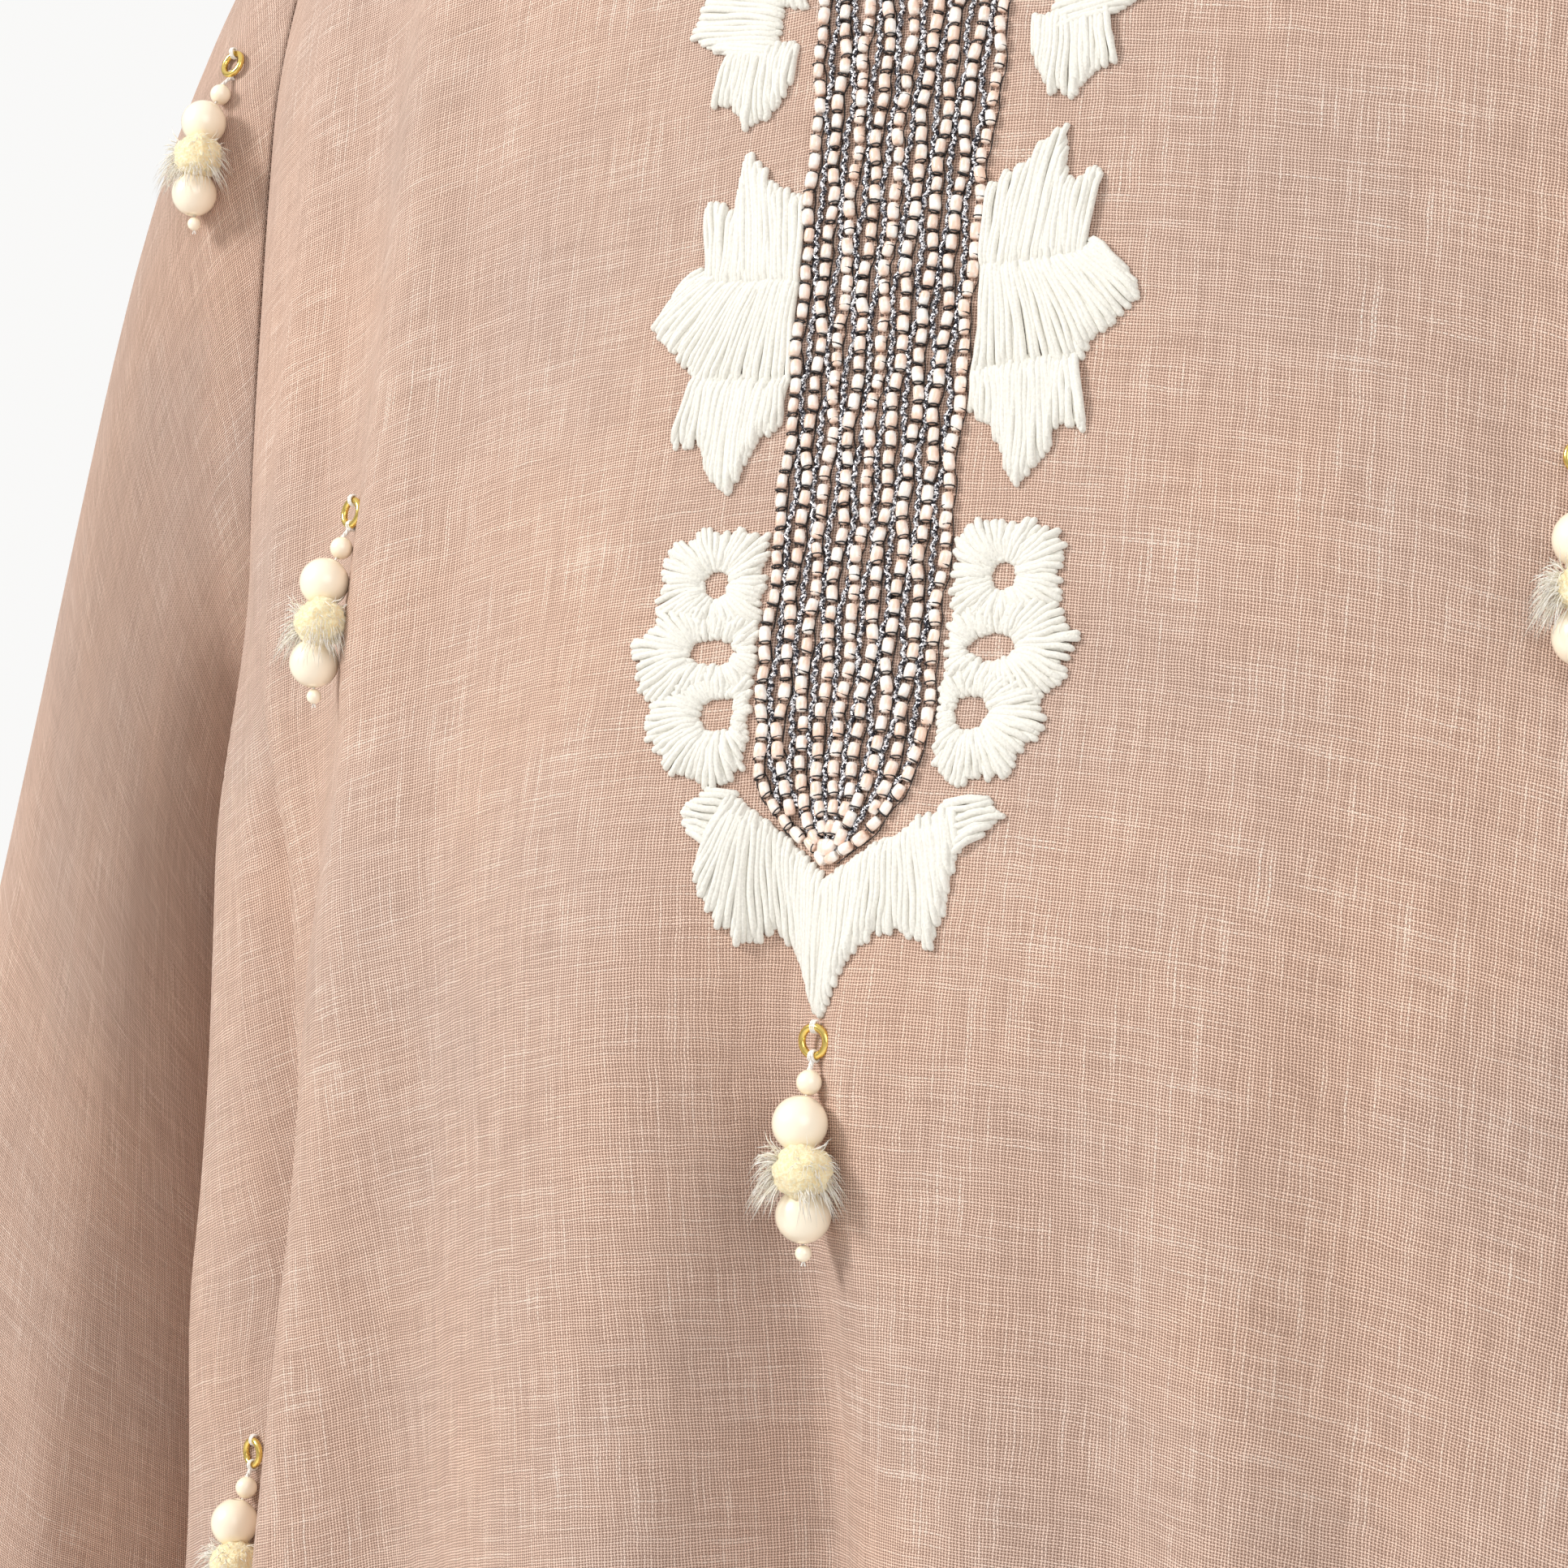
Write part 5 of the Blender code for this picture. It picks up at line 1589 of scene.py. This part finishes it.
def make_pendant(pendant):
    """The ring, thread, pearls and pompom of one pendant."""
    place = centre_of(f"{pendant}_ring")
    facing = ring_facing(f"{pendant}_ring")
    upper, lower, tiny = (centre_of(f"{pendant}_{word}_pearl") for word in ("upper", "lower", "tiny"))
    low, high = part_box(f"{pendant}_small_pearl")
    small = Vector(((low.x + high.x) / 2, (low.y + high.y) / 2, low.z + SMALL_PEARL))

    def build_ring(shape):
        """The ring of round wire."""
        torus(shape, RING, RING_WIRE, 44, 14)

    ring = shape_object(f"{pendant}_gold_ring", build_ring)
    ring.data.transform(Matrix.Translation(place) @ facing.to_track_quat("Z", "Y").to_matrix().to_4x4())
    dress(ring, gold(), pendant, [f"{pendant}_ring"])

    def build_pearls(shape):
        """The four drilled pearls, their holes along the thread."""
        line = (
            (small, SMALL_PEARL, upper - place), (upper, PEARL, lower - small),
            (lower, PEARL, lower - upper), (tiny, TINY_PEARL, tiny - lower),
        )
        for centre, radius, way in line:
            turned(shape, pearl_profile(radius, radius * 0.16, 18), 28, turn_from(-way, centre, facing))

    pearls = shape_object(f"{pendant}_pearls", build_pearls)
    dress(pearls, pearl(), pendant,
          [f"{pendant}_{part}" for part in ("small_pearl", "upper_pearl", "lower_pearl", "tiny_pearl")])
    foot = place - Vector((0, 0, RING))
    side = facing.cross(Vector((0, 0, 1))).normalized()
    wraps = []
    for k, aside in enumerate((-0.00035, 0.0, 0.00035)):
        loop = []
        for step in range(13):
            turn = 2 * math.pi * step / 12
            spot = foot + side * (aside + 0.0002 * math.sin(turn + k)) + facing * LAP * math.cos(turn)
            loop.append((spot + Vector((0, 0, LAP * math.sin(turn))), facing, 0.00024))
        wraps.append(loop)
    top = small + Vector((0, 0, SMALL_PEARL * 0.8))
    for k in range(3):
        twist = []
        for step in range(9):
            t = step / 8
            turn = 7 * t + 2.09 * k
            spot = foot.lerp(top, t) + Vector((0.0003 * math.cos(turn), 0.0003 * math.sin(turn), 0))
            twist.append((spot, facing, 0.00026))
        wraps.append(twist)
    for high, low in ((small, upper), (upper, lower), (lower, tiny)):
        wraps.append([(high.lerp(low, t), facing, 0.00022) for t in (0.0, 0.5, 1.0)])
    tail = tiny - Vector((0, 0, TINY_PEARL * 0.7))
    for k in range(2):
        wraps.append([(tail + Vector((0.0004 * t * (2 * k - 1), 0, -0.0012 * t)), facing, 0.00014)
                      for t in (0.0, 0.5, 1.0)])
    thread = run_tree(f"{pendant}_thread", paths_object("wraps", wraps), thread_tree(), {
        "Material": white_thread(), "Sides": 6, "Length Of Step": 0.0005,
    })
    dress(thread, white_thread(), pendant)
    make_pompom(pendant, facing)
    crown = place + Vector((0, 0, RING))
    stitches = []
    for k in range(3):
        loop = []
        for step in range(9):
            turn = math.pi * (step / 8 * 1.3 - 0.15)
            spot = crown + side * 0.0004 * (k - 1) + facing * 0.0010 * math.sin(turn) - facing * 0.0004
            loop.append((spot + Vector((0, 0, 0.0011 * math.cos(turn))), facing, 0.0002))
        stitches.append(loop)
    stitch = run_tree(f"{pendant}_stitch", paths_object("loops", stitches), thread_tree(), {
        "Material": white_thread(), "Sides": 6, "Length Of Step": 0.0005,
    })
    dress(stitch, white_thread(), "garment")


class JALABIYA_OT_pendants(bpy.types.Operator):
    """Hang the seven pearl pendants"""

    bl_idname = "jalabiya.pendants"
    bl_label = "Pendants"

    def execute(self, context):
        """Make each pendant where its solids hang."""
        for pendant in PENDANTS:
            make_pendant(pendant)
        return {"FINISHED"}


def build_stitch(shape):
    """One machine stitch."""
    turned(shape, ((0, -0.0011), (0.00014, -0.00095), (0.00017, 0), (0.00014, 0.00095), (0, 0.0011)), 5)


class JALABIYA_OT_seams(bpy.types.Operator):
    """Stitch the hem, the cuffs and the back of the neck"""

    bl_idname = "jalabiya.seams"
    bl_label = "Hems"

    def execute(self, context):
        """Repeat a stitch along every hem line."""
        s = np.linspace(-0.985, 0.985, 160)
        share = np.linspace(-0.98, 0.98, 60)
        x, z = neck_edge(False, np.abs(share))
        turn = np.linspace(0, 2 * np.pi, 120)
        ring = sleeve_points(np.full(turn.shape, 0.955), turn)
        lines = [
            ("linen_front", body_points(True, s, np.full(s.shape, HEM_STITCH_Z))),
            ("linen_back", body_points(False, s, np.full(s.shape, HEM_STITCH_Z))),
            ("linen_back", np.stack([np.sign(share) * x, np.full(x.shape, 0.05), z - 0.004], axis=1)),
            ("linen_sleeve_right", ring * np.array([-1, 1, 1])),
            ("linen_sleeve_left", ring),
        ]
        paths = [pressed_on(cloth_tree(name), points, STITCH_LIFT) for name, points in lines]
        stitch = shape_object("stitch_shape", build_stitch)
        piece = run_tree("hem_stitches", paths_object("hem_paths", paths), repeat_tree(), {
            "Shape": stitch, "Material": sewing_thread(), "Pitch": STITCH_PITCH, "Turn Varies": 0.05,
            "Size Varies": 0.05, "Seed": settings().seed,
        })
        bpy.data.objects.remove(stitch)
        dress(piece, sewing_thread(), "garment")
        return {"FINISHED"}


def area_light(name, place, aim, size, power, colour=(1, 1, 1)):
    """A soft studio light."""
    lamp = bpy.data.lights.new(name, "AREA")
    lamp.shape = "DISK"
    lamp.size = size
    lamp.energy = power
    lamp.color = colour
    light = bpy.data.objects.new(name, lamp)
    light.location = place
    light.rotation_mode = "QUATERNION"
    light.rotation_quaternion = (Vector(aim) - Vector(place)).to_track_quat("-Z", "Y")
    bpy.context.scene.collection.objects.link(light)
    return light


def studio_world():
    """A white backdrop whose light on the dress is softer than it looks."""
    world = bpy.data.worlds.new("studio")
    world.use_nodes = True
    tree = world.node_tree
    soft = tree.nodes["Background"]
    soft.inputs["Color"].default_value = (1.0, 0.985, 0.97, 1)
    place = add(tree, "ShaderNodeTexCoord").outputs["Generated"]
    way = add(tree, "ShaderNodeSeparateXYZ", {0: place}).outputs
    tree.links.new(from_to(tree, way[2], -0.35, 0.75, 0.26, 0.82), soft.inputs["Strength"])
    white = add(tree, "ShaderNodeBackground", {"Color": (1.0, 0.995, 0.985, 1), "Strength": 0.95})
    seen = add(tree, "ShaderNodeLightPath").outputs["Is Camera Ray"]
    mixed = add(tree, "ShaderNodeMixShader", {0: seen, 1: soft.outputs[0], 2: white.outputs[0]})
    tree.links.new(mixed.outputs[0], tree.nodes["World Output"].inputs["Surface"])
    return world


class JALABIYA_OT_stage(bpy.types.Operator):
    """Set the floor, the light and the camera"""

    bl_idname = "jalabiya.stage"
    bl_label = "Stage"

    def execute(self, context):
        """A pale floor under the hem, a key light from the upper left and a level camera."""
        mesh = bpy.data.meshes.new("floor")
        reach = 12.0
        corners = [(x * reach, y * reach, HEM_Z - 0.002) for x, y in ((-1, -1), (1, -1), (1, 1), (-1, 1))]
        mesh.from_pydata(corners, [], [(0, 1, 2, 3)])
        floor = bpy.data.objects.new("floor", mesh)
        context.scene.collection.objects.link(floor)
        mesh.materials.append(new_material("floor", (0.86, 0.85, 0.84, 1), 0.8)[0])
        context.scene.world = studio_world()
        area_light("key", (-1.45, -1.60, 0.95), (0, -0.13, -0.3), 0.7, 46, (1.0, 0.985, 0.965))
        area_light("fill", (1.6, -1.4, 0.3), (0, -0.1, -0.4), 1.6, 13, (1.0, 0.99, 0.98))
        lens = bpy.data.cameras.new("camera")
        lens.lens = CAMERA_LENS
        lens.sensor_width = 36
        lens.clip_start = 0.02
        camera = bpy.data.objects.new("camera", lens)
        camera.location = CAMERA_PLACE
        camera.rotation_euler = (math.pi / 2, 0, CAMERA_TURN)
        context.scene.collection.objects.link(camera)
        context.scene.camera = camera
        context.scene.view_settings.view_transform = "Standard"
        return {"FINISHED"}


class JALABIYA_PT_panel(bpy.types.Panel):
    """The pieces, in the order in which they are made"""

    bl_idname = "JALABIYA_PT_panel"
    bl_label = "Jalabiya"
    bl_space_type = "VIEW_3D"
    bl_region_type = "UI"
    bl_category = "Jalabiya"

    def draw(self, context):
        """List the settings and the operators."""
        for name in JalabiyaSettings.__annotations__:
            self.layout.prop(context.scene.jalabiya, name)
        for piece in OPERATORS:
            self.layout.operator(piece.bl_idname)


OPERATORS = (
    JALABIYA_OT_linen,
    JALABIYA_OT_band,
    JALABIYA_OT_wool,
    JALABIYA_OT_pendants,
    JALABIYA_OT_seams,
    JALABIYA_OT_stage,
)


def register():
    """Add the settings, operators and panel."""
    for item in (JalabiyaSettings, *OPERATORS, JALABIYA_PT_panel):
        bpy.utils.register_class(item)
    bpy.types.Scene.jalabiya = PointerProperty(type=JalabiyaSettings)


def unregister():
    """Take them away again."""
    del bpy.types.Scene.jalabiya
    for item in (JALABIYA_PT_panel, *reversed(OPERATORS), JalabiyaSettings):
        bpy.utils.unregister_class(item)


def main():
    """Make everything in order."""
    register()
    bpy.ops.jalabiya.linen()
    bpy.ops.jalabiya.band()
    bpy.ops.jalabiya.wool()
    bpy.ops.jalabiya.pendants()
    bpy.ops.jalabiya.seams()
    bpy.ops.jalabiya.stage()


if __name__ == "__main__":
    main()
